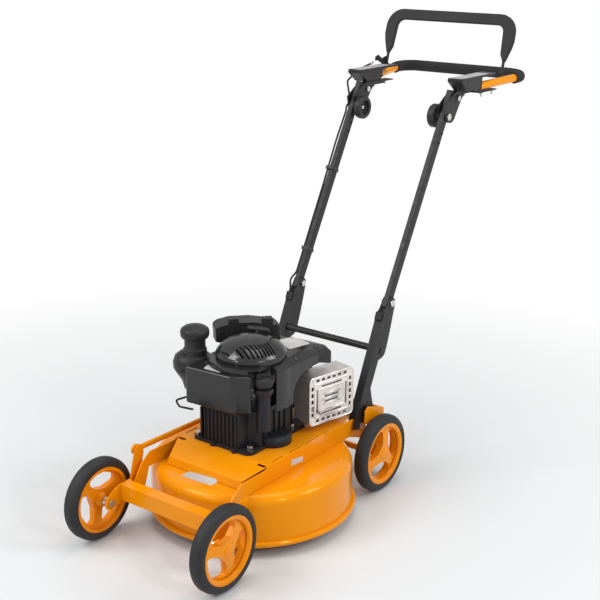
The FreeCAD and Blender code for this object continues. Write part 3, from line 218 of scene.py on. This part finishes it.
def foam(name):
    """Closed-cell foam: small open pores over a soft, matt skin, with painted shade darkening the pores."""
    colour = (0.018, 0.018, 0.019)
    paint = Paint(name, colour, 0.82, Specular_IOR_Level=0.3)
    pores_and_painted_shade = paint.cells(900)
    # painted shade: the colour darkens inside the pores
    paint.colour_from(paint.blend(paint.ramp(pores_and_painted_shade, 0.1, 0.6), scaled(colour, 0.6),
                                  scaled(colour, 1.25)))
    paint.roughness_from(paint.ramp(paint.noise(40, 3), 0.3, 0.7, 0.74, 0.9))
    return paint.bump(pores_and_painted_shade, 0.5, 0.0006).bump(paint.noise(60, 3), 0.1, 0.001)


def embossed_sheet(name):
    """Bright pressed sheet with heat tint and rolled grain."""
    colour = (0.82, 0.79, 0.78)
    paint = Paint(name, colour, 0.34, 0.8)
    tint = paint.noise(24, 4)
    paint.colour_from(paint.blend(paint.ramp(tint, 0.4, 0.72), (0.86, 0.83, 0.82),
                                  (0.66, 0.61, 0.58)))
    paint.roughness_from(paint.ramp(tint, 0.3, 0.7, 0.28, 0.45))
    return paint.bump(paint.noise(300, 3, (1, 6, 1)), 0.15, 0.0004)


ORANGE = (0.80, 0.27, 0.002)
PAINTS = {
    "orange": enamel("orange_enamel", ORANGE),
    "orange_edge": enamel("orange_edge", ORANGE, 1.12),
    "black_paint": powder_coat("black_powder_coat", (0.014, 0.0135, 0.0145), 0.42),
    "black_edge": powder_coat("black_coat_edge", (0.034, 0.033, 0.035), 0.38),
    "shroud": moulded("shroud_plastic", (0.0135, 0.0130, 0.0135), 0.17, 1600, 0.04, 0.5),
    "plastic": moulded("grained_plastic", (0.019, 0.0185, 0.0195), 0.40),
    "plastic_edge": moulded("plastic_edge", (0.032, 0.032, 0.034), 0.40),
    "recoil": moulded("recoil_plastic", (0.0150, 0.0147, 0.0150), 0.19, 1800, 0.04, 0.6),
    "bail": moulded("bail_plastic", (0.016, 0.016, 0.017), 0.55, 1000, 0.35),
    "panel_top": moulded("panel_top_plastic", (0.36, 0.36, 0.37), 0.5),
    "plate": moulded("blank_label", (0.52, 0.51, 0.50), 0.34, 2200, 0.06),
    "rim": enamel("rim_orange_plastic", (0.80, 0.255, 0.003)),
    "rubber": tyre_rubber("tyre_rubber"),
    "foam": foam("grip_foam"),
    "zinc": plated("zinc_plate", (0.72, 0.71, 0.68), 0.24),
    "shaft": plated("turned_steel", (0.66, 0.64, 0.61), 0.22, (0.05, 1, 1)),
    "dark_steel": plated("oiled_steel", (0.17, 0.165, 0.16), 0.38),
    "cast": cast("coated_casting", (0.016, 0.016, 0.018), 0.34),
    "bare_cast": cast("bare_casting", (0.20, 0.20, 0.205), 0.42),
    "guard": embossed_sheet("pressed_guard"),
    "cable": moulded("cable_jacket", (0.012, 0.012, 0.013), 0.4, 2600, 0.15),
}

NODE_PAINT = {}
for key, names in {
    "orange": "deck_shell chassis_plate side_frame_left side_frame_right rear_guard handlebar "
              "front_axle_beam front_axle_arm rear_axle_beam rear_axle_arm link_rod",
    "black_paint": "handle_channel_left handle_channel_right cross_tube upper_tube_left "
                   "upper_tube_right head_brackets bail_rod cable_bracket",
    "zinc": "frame_bolts front_wheel_bolts rear_wheel_bolts head_bolts blade_bolt",
    "shaft": "rear_pivot_shaft crankshaft",
    "rubber": "tyre_front_left tyre_front_right tyre_rear_left tyre_rear_right",
    "rim": "rim_front_left rim_front_right rim_rear_left rim_rear_right",
    "foam": "grip_sleeve",
    "plastic": "control_panels adjust_knob_left adjust_knob_right starter_grip fuel_cap dipstick "
               "air_filter_base air_filter_cover filler_neck spark_plug",
    "bail": "bail_cover",
    "recoil": "recoil_cover",
    "shroud": "blower_shroud fuel_tank",
    "cast": "crankcase cylinder_block",
    "bare_cast": "carburettor flywheel",
    "guard": "muffler_guard",
    "dark_steel": "muffler_body blade blade_boss",
    "cable": "cable_head cable_upper cable_lower",
}.items():
    for name in names.split():
        NODE_PAINT[name] = key
EDGE_PAINT = {"orange": "orange_edge", "rim": "orange_edge", "black_paint": "black_edge",
              "plastic": "plastic_edge", "shroud": "plastic_edge", "recoil": "plastic_edge",
              "bail": "plastic_edge"}


# ---------------------------------------------------------------- mesh helpers

MM = 0.001
WELD = 0.00002
FLAT_WITHIN = math.radians(0.6)
LABEL_LIFT = 0.0004
CAST_FROM = 0.2
DOWN = Vector((0, 0, -1))
TUBE_RUN = Vector((0, 0.4838, 0.8752))
TUBE_REAR = Vector((0, 0.8752, -0.4838))
JACKET_RADIUS = 0.0026


def paint_of(key):
    return PAINTS[key].material


def piece(name, mesh_maker, body, paint, smooth=True):
    """A new piece from a bmesh-filling function, with a paint, on a body or left to be blended."""
    mesh = bpy.data.meshes.new(name)
    shape = bmesh.new()
    mesh_maker(shape)
    bmesh.ops.recalc_face_normals(shape, faces=shape.faces)
    shape.to_mesh(mesh)
    shape.free()
    for polygon in mesh.polygons:
        polygon.use_smooth = smooth
    item = bpy.data.objects.new(name, mesh)
    scene.collection.objects.link(item)
    mesh.materials.append(paint_of(paint))
    if body:
        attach(item, body)
    return item


def soften(name, width, segments=2, angle=38):
    """A copy of a CAD node with its tessellation cleaned and its edges rounded over."""
    source = NODES[name]
    mesh = source.data.copy()
    shape = bmesh.new()
    shape.from_mesh(mesh)
    bmesh.ops.remove_doubles(shape, verts=shape.verts, dist=WELD)
    bmesh.ops.dissolve_limit(shape, angle_limit=FLAT_WITHIN, use_dissolve_boundaries=False,
                             verts=shape.verts, edges=shape.edges)
    shape.to_mesh(mesh)
    shape.free()
    if "custom_normal" in mesh.attributes:
        mesh.attributes.remove(mesh.attributes["custom_normal"])
    for polygon in mesh.polygons:
        polygon.use_smooth = True
        polygon.material_index = 0
    key = NODE_PAINT[name]
    mesh.materials.clear()
    mesh.materials.append(paint_of(key))
    mesh.materials.append(paint_of(EDGE_PAINT.get(key, key)))
    item = bpy.data.objects.new(name + ".soft", mesh)
    scene.collection.objects.link(item)
    bevel = item.modifiers.new("edges", "BEVEL")
    bevel.width = width
    bevel.segments = segments
    bevel.limit_method = "ANGLE"
    bevel.angle_limit = math.radians(angle)
    bevel.material = 1
    bevel.use_clamp_overlap = True
    bevel.miter_outer = "MITER_ARC"
    weights = item.modifiers.new("normals", "WEIGHTED_NORMAL")
    weights.keep_sharp = True
    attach(item, BODY_OF[name])
    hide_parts(name)
    return item


for name, node in NODES.items():
    node.data.materials.clear()
    node.data.materials.append(paint_of(NODE_PAINT[name]))

SOFT_WIDTH = {
    "deck_shell": 0.0010, "chassis_plate": 0.0009, "side_frame_left": 0.0006,
    "side_frame_right": 0.0006, "rear_guard": 0.0006, "handlebar": 0.0004,
    "front_axle_beam": 0.0009, "front_axle_arm": 0.0008, "rear_axle_beam": 0.0009,
    "rear_axle_arm": 0.0008, "link_rod": 0.0005, "handle_channel_left": 0.0007,
    "handle_channel_right": 0.0007, "cross_tube": 0.0004, "upper_tube_left": 0.0005,
    "upper_tube_right": 0.0005, "head_brackets": 0.0007, "bail_rod": 0.0004,
    "frame_bolts": 0.0006, "front_wheel_bolts": 0.0006, "rear_wheel_bolts": 0.0006,
    "head_bolts": 0.0006, "adjust_knob_left": 0.0012, "adjust_knob_right": 0.0012,
    "control_panels": 0.0016, "blower_shroud": 0.0012, "fuel_tank": 0.0030,
    "crankcase": 0.0010, "cylinder_block": 0.0008, "muffler_guard": 0.0007,
    "muffler_body": 0.0010, "air_filter_base": 0.0012, "air_filter_cover": 0.0016,
    "filler_neck": 0.0010, "fuel_cap": 0.0014, "dipstick": 0.0012, "carburettor": 0.0012,
    "starter_grip": 0.0012, "recoil_cover": 0.0008, "blade": 0.0005,
    "rim_front_left": 0.0014, "rim_front_right": 0.0014, "rim_rear_left": 0.0014,
    "rim_rear_right": 0.0014,
}
for name, width in SOFT_WIDTH.items():
    soften(name, width)


# ---------------------------------------------------------------- detail pieces

def mm(x, y, z):
    return Vector((x * MM, y * MM, z * MM))


def corners_at(height, *spots):
    """Corners at one height, in millimetres, for a plate that is laid over what is below."""
    return [mm(x, y, height) for x, y in spots]


def swept(shape, path, across, width, height, crown=3):
    """A raised bead along a path; `across` gives the outward direction it stands in."""
    rings = []
    for index, spot in enumerate(path):
        before, after = path[max(index - 1, 0)], path[min(index + 1, len(path) - 1)]
        run = (after - before).normalized()
        side = run.cross(across).normalized() * (width / 2)
        ring = [spot - across * height * 0.5 - side]
        for step in range(crown * 2 + 1):
            angle = math.pi * step / (crown * 2)
            ring.append(spot - side * math.cos(angle) + across * height * math.sin(angle))
        ring.append(spot - across * height * 0.5 + side)
        rings.append([shape.verts.new(point) for point in ring])
    for first, second in zip(rings, rings[1:]):
        for index in range(len(first)):
            nxt = (index + 1) % len(first)
            shape.faces.new((first[index], first[nxt], second[nxt], second[index]))
    shape.faces.new(rings[0])
    shape.faces.new(reversed(rings[-1]))


def eased(path, radius, steps=4):
    """A polyline whose inner corners are replaced by short curves."""
    out = [path[0]]
    for before, corner, after in zip(path, path[1:], path[2:]):
        near = min(radius, (corner - before).length / 2, (after - corner).length / 2)
        start = corner + (before - corner).normalized() * near
        end = corner + (after - corner).normalized() * near
        for step in range(steps + 1):
            t = step / steps
            out.append(start * (1 - t) ** 2 + corner * 2 * t * (1 - t) + end * t ** 2)
    return out + [path[-1]]


def lathed(shape, profile, centre, axis, steps=28):
    """A turned form: (radius, height) pairs round an axis through a centre."""
    axis = axis.normalized()
    side = axis.orthogonal().normalized()
    other = axis.cross(side)
    rings = []
    for radius, height in profile:
        ring = []
        for step in range(steps):
            angle = 2 * math.pi * step / steps
            out = side * math.cos(angle) + other * math.sin(angle)
            ring.append(shape.verts.new(centre + axis * height + out * max(radius, 0.00001)))
        rings.append(ring)
    for first, second in zip(rings, rings[1:]):
        for step in range(steps):
            nxt = (step + 1) % steps
            shape.faces.new((first[step], first[nxt], second[nxt], second[step]))
    shape.faces.new(reversed(rings[0]))
    shape.faces.new(rings[-1])


def band(shape, corners, along, width, thickness):
    """A closed strap of small thickness through the corners of a loop."""
    centre = sum(corners, Vector()) / len(corners)
    rings = []
    for index, spot in enumerate(corners):
        out = (spot - centre).normalized() * thickness
        lift = along * (width / 2)
        rings.append([shape.verts.new(point) for point in
                      (spot - lift, spot + out - lift, spot + out + lift, spot + lift)])
    for index, first in enumerate(rings):
        second = rings[(index + 1) % len(rings)]
        for step in range(4):
            nxt = (step + 1) % 4
            shape.faces.new((first[step], first[nxt], second[nxt], second[step]))


def surface_of(*names):
    """A ray-castable copy of some nodes' surfaces."""
    shape = bmesh.new()
    for name in names:
        shape.from_mesh(NODES[name].data)
    tree = BVHTree.FromBMesh(shape)
    shape.free()
    return tree


def laid_patch(shape, tree, corners, direction, lift=LABEL_LIFT, across=22, along=10):
    """A thin plate laid over a surface between four corners, with trimmed corners."""
    grid = []
    a, b, c, d = corners
    for row in range(along + 1):
        v = row / along
        line = []
        for column in range(across + 1):
            u = column / across
            inset = max(0.0, abs(2 * v - 1) - 0.8) ** 2 * 1.2
            uu = inset + u * (1 - 2 * inset)
            spot = (a * (1 - uu) + b * uu) * (1 - v) + (d * (1 - uu) + c * uu) * v
            hit, normal, _, _ = tree.ray_cast(spot - direction * CAST_FROM, direction)
            if hit is None:
                hit, normal = spot, -direction
            line.append(shape.verts.new(hit - direction * lift))
        grid.append(line)
    for first, second in zip(grid, grid[1:]):
        for column in range(across):
            shape.faces.new((first[column], first[column + 1], second[column + 1],
                             second[column]))


def make_guard_embossing():
    """Pressed ribs, a rolled border and dark strips of painted shade for the slits in the muffler guard's face."""
    turn = Matrix.Rotation(math.radians(-12), 3, "Z")
    middle = mm(97, 172, 0)
    face, rim_depth, slit_shadow_depth = 28.0, 27.4, 28.1
    out = turn @ Vector((1, 0, 0))

    def on_face(u, v, proud=face):
        return middle + turn @ mm(proud, u, v)

    def frame_loop(inset):
        low_u, high_u = -60 + inset, 50 - inset
        low_v, high_v = 232 + inset, 318 - inset
        return ((-5, low_v), (low_u, low_v), (low_u, high_v), (high_u, high_v),
                (high_u, low_v), (-5, low_v))

    ribs = [frame_loop(0), frame_loop(15)]
    ribs += [((-34 + lean, v), (22 + lean, v)) for v, lean in ((262, 3), (275, -3), (288, 3))]
    # Dark strips of painted shade stand for the slits, just proud of the face.
    slit_shadows = [((u, 246), (u, 304)) for u in (-52.5, 42.5)]
    slit_shadows += [((-38, v), (28, v)) for v in (239.5, 310.5)]
    slit_shadows += [((-28, v), (18, v)) for v in (268.5, 281.5)]

    def fill_ribs(shape):
        for rib in ribs:
            swept(shape, eased([on_face(u, v) for u, v in rib], 6 * MM), out, 0.0058, 0.0024)

    def fill_slit_shadows(shape):
        for shadow_strip in slit_shadows:
            swept(shape, [on_face(u, v, slit_shadow_depth) for u, v in shadow_strip], out, 0.0044, 0.0003, 1)

    def fill_border(shape):
        rounding = 13 * MM
        loop = ((-5, 213.5), (-76.5, 213.5), (-76.5, 336.5), (66.5, 336.5), (66.5, 213.5),
                (-5, 213.5))
        swept(shape, eased([on_face(u, v, rim_depth) for u, v in loop], rounding, 8), out, 0.0046,
              0.0026)

    body = BODY_OF["muffler_guard"]
    piece("guard_ribs", fill_ribs, body, "guard")
    piece("guard_border", fill_border, body, "guard")
    # The slits' painted shade: dark strips, not openings.
    piece("guard_slit_shadows", fill_slit_shadows, body, "dark_steel")


def make_labels():
    """Blank plates where such a machine carries its stickers."""
    shroud = surface_of("blower_shroud")
    tank = surface_of("fuel_tank")
    deck = surface_of("deck_shell", "chassis_plate")
    side = surface_of("deck_shell", "side_frame_left", "chassis_plate")
    panels = surface_of("control_panels")
    body = BODY_OF["blower_shroud"]
    on_shroud = corners_at(404, (50, 84), (66, 150), (4, 172), (-12, 122))
    on_tank = corners_at(390, (-54, -113), (-6, -110), (-10, -86), (-62, -82))
    on_deck = corners_at(160, (-46, -207), (44, -203), (44, -179.5), (-46, -181.5))
    on_side = [mm(150, -29, 181), mm(150, 17, 174), mm(150, 17, 160), mm(150, -29, 165)]
    piece("shroud_plate", lambda shape: laid_patch(shape, shroud, on_shroud, DOWN), body,
          "plate")
    piece("tank_plate", lambda shape: laid_patch(shape, tank, on_tank, DOWN), body,
          "plate")
    piece("deck_plate", lambda shape: laid_patch(shape, deck, on_deck, DOWN), body,
          "plate")
    for label, sign in (("left", 1), ("right", -1)):
        near, far = sign * 137, sign * 176
        top = corners_at(1009, (near, 648), (far, 648), (far, 800), (near, 800))
        piece(f"panel_face_{label}", lambda shape, c=top: laid_patch(
            shape, panels, c, DOWN, LABEL_LIFT * 1.5),
            BODY_OF["control_panels"], "panel_top")
    piece("side_plate", lambda shape: laid_patch(shape, side, on_side, Vector((-1, 0, 0))),
          body, "plate")


def make_screws():
    """Sunk screws of the blower housing and the round cover's fixing lugs."""
    shroud = surface_of("blower_shroud")
    body = BODY_OF["blower_shroud"]
    for index, above in enumerate(corners_at(440, (91, 57), (84, 148), (-88, 20))):
        hit, normal, _, _ = shroud.ray_cast(above, DOWN)
        if hit is None:
            continue

        def fill_cup(shape, hit=hit, normal=normal):
            lathed(shape, [(0.0074, -0.001), (0.0074, 0.0006), (0.0062, 0.0009), (0.0052, 0.0004),
                           (0.0050, -0.0004), (0, -0.0004)], hit, normal)

        def fill_head(shape, hit=hit, normal=normal):
            lathed(shape, [(0.0036, -0.0006), (0.0036, 0.0006), (0.0030, 0.0010), (0.0016, 0.0010),
                           (0.0014, 0.0004), (0, 0.0004)], hit, normal, 18)

        piece(f"screw_cup_{index}", fill_cup, body, "plastic")
        piece(f"screw_head_{index}", fill_head, body, "dark_steel")


def make_cable_clips():
    """Two straps that hold the control cable against the right tube."""
    foot = mm(0, 380.4, 466.6) - TUBE_REAR * 0.005
    for index, (along, front) in enumerate(((93, -12.8), (323, -16))):
        centre = foot + TUBE_RUN * along * MM
        corners = []
        for x, depth in ((-157, front + 2), (-155, front), (-136, front), (-133.4, front + 2),
                         (-133.4, 10), (-136, 12.2), (-148, 12.2), (-157, 3)):
            corners.append(centre + Vector((x * MM, 0, 0)) + TUBE_REAR * depth * MM)
        piece(f"cable_clip_{index}", lambda shape, c=corners: band(shape, c, TUBE_RUN, 0.009, 0.0014),
              BODY_OF["upper_tube_right"], "plastic_edge", smooth=False)


def tube(shape, path, radius, steps=14):
    """A round tube along a gently bent path."""
    rings = []
    for index, spot in enumerate(path):
        before, after = path[max(index - 1, 0)], path[min(index + 1, len(path) - 1)]
        run = (after - before).normalized()
        side = run.cross(Vector((1, 0, 0))).normalized()
        other = run.cross(side)
        ring = []
        for step in range(steps):
            angle = 2 * math.pi * step / steps
            out = side * math.cos(angle) + other * math.sin(angle)
            ring.append(shape.verts.new(spot + out * radius))
        rings.append(ring)
    for first, second in zip(rings, rings[1:]):
        for step in range(steps):
            nxt = (step + 1) % steps
            shape.faces.new((first[step], first[nxt], second[nxt], second[step]))
    shape.faces.new(reversed(rings[0]))
    shape.faces.new(rings[-1])


def end_face(name, direction, depth=0.006):
    """Middle of the end of a node that lies furthest along a direction."""
    corners = [corner.co for corner in NODES[name].data.vertices]
    reach = max(corner.dot(direction) for corner in corners)
    end = [corner for corner in corners if reach - corner.dot(direction) < depth]
    return sum(end, Vector()) / len(end)


def make_cable_bends():
    """Lengths of the control cable that flex where the handle tilts and folds."""
    for label, upper, lower, bow in (("tilt", "cable_head", "cable_upper", 0.004),
                                     ("fold", "cable_upper", "cable_lower", 0.009)):
        top, low = end_face(upper, -TUBE_RUN), end_face(lower, TUBE_RUN)
        along = TUBE_RUN * (low - top).dot(TUBE_RUN)
        across = (low - top) - along
        path = []
        for step in range(17):
            t = step / 16
            ease = t * t * (3 - 2 * t)
            outward = Vector((-1, 0, 0)) * bow * math.sin(math.pi * t) ** 2
            path.append(top + along * t + across * ease + outward)
        bend = piece(f"cable_bend_{label}", lambda shape, p=path: tube(shape, p, JACKET_RADIUS), None,
                     "cable")
        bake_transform(bend)


def make_cable_end():
    """Ferrule on the cable's upper end and the wire that the bail's lever pulls."""
    rear = Vector((0, 1, 0))
    tip = end_face("cable_head", rear)
    lever = min((corner.co for corner in NODES["bail_rod"].data.vertices),
                key=lambda spot: (spot - tip).length)
    head = BODY_OF["cable_head"]
    piece("cable_ferrule", lambda shape: lathed(
        shape, [(0.0027, -0.011), (0.0036, -0.010), (0.0036, -0.001), (0.0024, 0.002),
                (0, 0.002)], tip, Vector((0, 0.98, 0.18)), 20), head, "zinc")
    wire = piece("cable_wire", lambda shape: tube(shape, [tip, (tip + lever) / 2, lever], 0.0009, 8),
                 None, "shaft")
    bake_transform(wire)


def make_cable_tail():
    """The control cable's last stretch, from its held length into the carburettor's rear."""
    leaving = Vector((0.22, -0.65, 0.73)).normalized()
    start = end_face("cable_lower", leaving)
    entry = mm(-107, 86, 332)
    handles = (start, start + leaving * 0.020, entry + Vector((0, 0.024, 0.002)), entry)
    path = []
    for step in range(17):
        t = step / 16
        weights = ((1 - t) ** 3, 3 * t * (1 - t) ** 2, 3 * t * t * (1 - t), t ** 3)
        path.append(sum((spot * weight for spot, weight in zip(handles, weights)), Vector()))
    body = BODY_OF["cable_lower"]
    piece("cable_tail", lambda shape: tube(shape, path, JACKET_RADIUS), body, "cable")
    piece("cable_collar", lambda shape: lathed(
        shape, [(0.0030, 0.012), (0.0048, 0.010), (0.0048, 0.002), (0.0060, 0), (0.0060, -0.002)],
        entry, Vector((0, 1, 0)), 20), body, "zinc")


def make_starter_rope():
    """The rope behind the starter grip, which the grip draws out of its mouth."""
    joint = next(item for item in frame["joints"] if item["name"] == "starter_pull")
    pull = Vector(joint["axis"]).normalized()
    knot = end_face("starter_grip", -pull, 0.001)
    path = [knot - pull * 0.010 + pull * 0.012 * step / 12 for step in range(13)]
    rope = piece("starter_rope", lambda shape: tube(shape, path, 0.0021, 12), None, "foam")
    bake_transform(rope)


make_guard_embossing()
make_labels()
make_screws()
make_cable_clips()
make_cable_bends()
make_cable_end()
make_cable_tail()
make_starter_rope()


# ---------------------------------------------------------------- stage, light and camera

FLOOR_PLAIN_TO = 0.55
FLOOR_WHITE_FROM = 1.9
STUDIO_STRENGTH = 0.62


def make_stage():
    """A pale floor that fades into plain white, under an even studio light."""
    mesh = bpy.data.meshes.new("floor")
    shape = bmesh.new()
    bmesh.ops.create_circle(shape, cap_ends=True, segments=128, radius=40)
    shape.to_mesh(mesh)
    shape.free()
    floor = bpy.data.objects.new("floor", mesh)
    floor.location.z = -0.0005
    scene.collection.objects.link(floor)
    paint = Paint("pale_floor", (0.655, 0.67, 0.68), 0.6, Specular_IOR_Level=0.1)
    paint.roughness_from(paint.ramp(paint.noise(3, 3), 0.3, 0.7, 0.5, 0.62))
    paint.bump(paint.noise(60, 2), 0.01, 0.002)
    mesh.materials.append(paint.material)
    glow = paint.add("ShaderNodeEmission")
    glow.inputs["Color"].default_value = (1, 1, 1, 1)
    reach = paint.add("ShaderNodeVectorMath", operation="LENGTH")
    paint.wire(paint.coords, reach.inputs[0])
    fade = paint.add("ShaderNodeMixShader")
    paint.wire(paint.ramp(reach.outputs["Value"], FLOOR_PLAIN_TO, FLOOR_WHITE_FROM),
               fade.inputs["Fac"])
    paint.wire(paint.shader.outputs["BSDF"], fade.inputs[1])
    paint.wire(glow.outputs["Emission"], fade.inputs[2])
    paint.wire(fade.outputs["Shader"], paint.tree.nodes["Material Output"].inputs["Surface"])
    world = bpy.data.worlds.new("studio")
    scene.world = world
    world.use_nodes = True
    tree = world.node_tree
    sky = tree.nodes["Background"]
    sky.inputs["Color"].default_value = (1.0, 0.995, 0.99, 1)
    sky.inputs["Strength"].default_value = STUDIO_STRENGTH
    backdrop = tree.nodes.new("ShaderNodeBackground")
    backdrop.inputs["Color"].default_value = (1, 1, 1, 1)
    backdrop.inputs["Strength"].default_value = 1.0
    seen = tree.nodes.new("ShaderNodeLightPath")
    choose = tree.nodes.new("ShaderNodeMixShader")
    tree.links.new(seen.outputs["Is Camera Ray"], choose.inputs["Fac"])
    tree.links.new(sky.outputs["Background"], choose.inputs[1])
    tree.links.new(backdrop.outputs["Background"], choose.inputs[2])
    tree.links.new(choose.outputs["Shader"], tree.nodes["World Output"].inputs["Surface"])


def area_light(name, spot, target, size, energy):
    """A square softbox at a spot, turned towards a target."""
    lamp = bpy.data.lights.new(name, "AREA")
    lamp.shape = "SQUARE"
    lamp.size = size
    lamp.energy = energy
    item = bpy.data.objects.new(name, lamp)
    item.location = spot
    aim = Vector(target) - Vector(spot)
    item.rotation_mode = "QUATERNION"
    item.rotation_quaternion = aim.to_track_quat("-Z", "Y")
    scene.collection.objects.link(item)


def make_camera():
    """The studio camera: turned 37 degrees round the mower's front and 17 above level."""
    azimuth, elevation, roll = math.radians(37.22), math.radians(17.05), math.radians(0.25)
    aim, distance = Vector((0, 0.150, 0.54496)), 2.91436
    back = Vector((math.sin(azimuth) * math.cos(elevation),
                   -math.cos(azimuth) * math.cos(elevation), math.sin(elevation)))
    camera = bpy.data.cameras.new("studio_camera")
    camera.lens = 71.26
    camera.sensor_width = 36
    camera.shift_x = 0.0175
    camera.shift_y = -0.02695
    camera.clip_end = 200
    item = bpy.data.objects.new("studio_camera", camera)
    item.location = aim + back * distance
    facing = (-back).to_track_quat("-Z", "Y").to_matrix().to_4x4()
    item.rotation_mode = "QUATERNION"
    item.rotation_quaternion = (facing @ Matrix.Rotation(roll, 4, "Z")).to_quaternion()
    scene.collection.objects.link(item)
    scene.camera = item


make_stage()
area_light("key_softbox", (-1.6, -2.2, 3.0), (0, 0, 0.3), size=1.6, energy=60)
area_light("rim_softbox", (2.6, 1.2, 2.4), (0, 0.1, 0.3), size=1.2, energy=35)
area_light("top_softbox", (0.2, 0.3, 3.6), (0, 0.1, 0.2), size=1.8, energy=30)
area_light("left_glint", (2.9, -0.9, 1.9), (0.1, 0, 0.15), size=0.30, energy=13)
area_light("front_glint", (-0.6, -3.2, 2.1), (0, -0.1, 0.15), size=0.30, energy=11)
make_camera()
scene.view_settings.view_transform = "Standard"
scene.view_settings.look = "None"
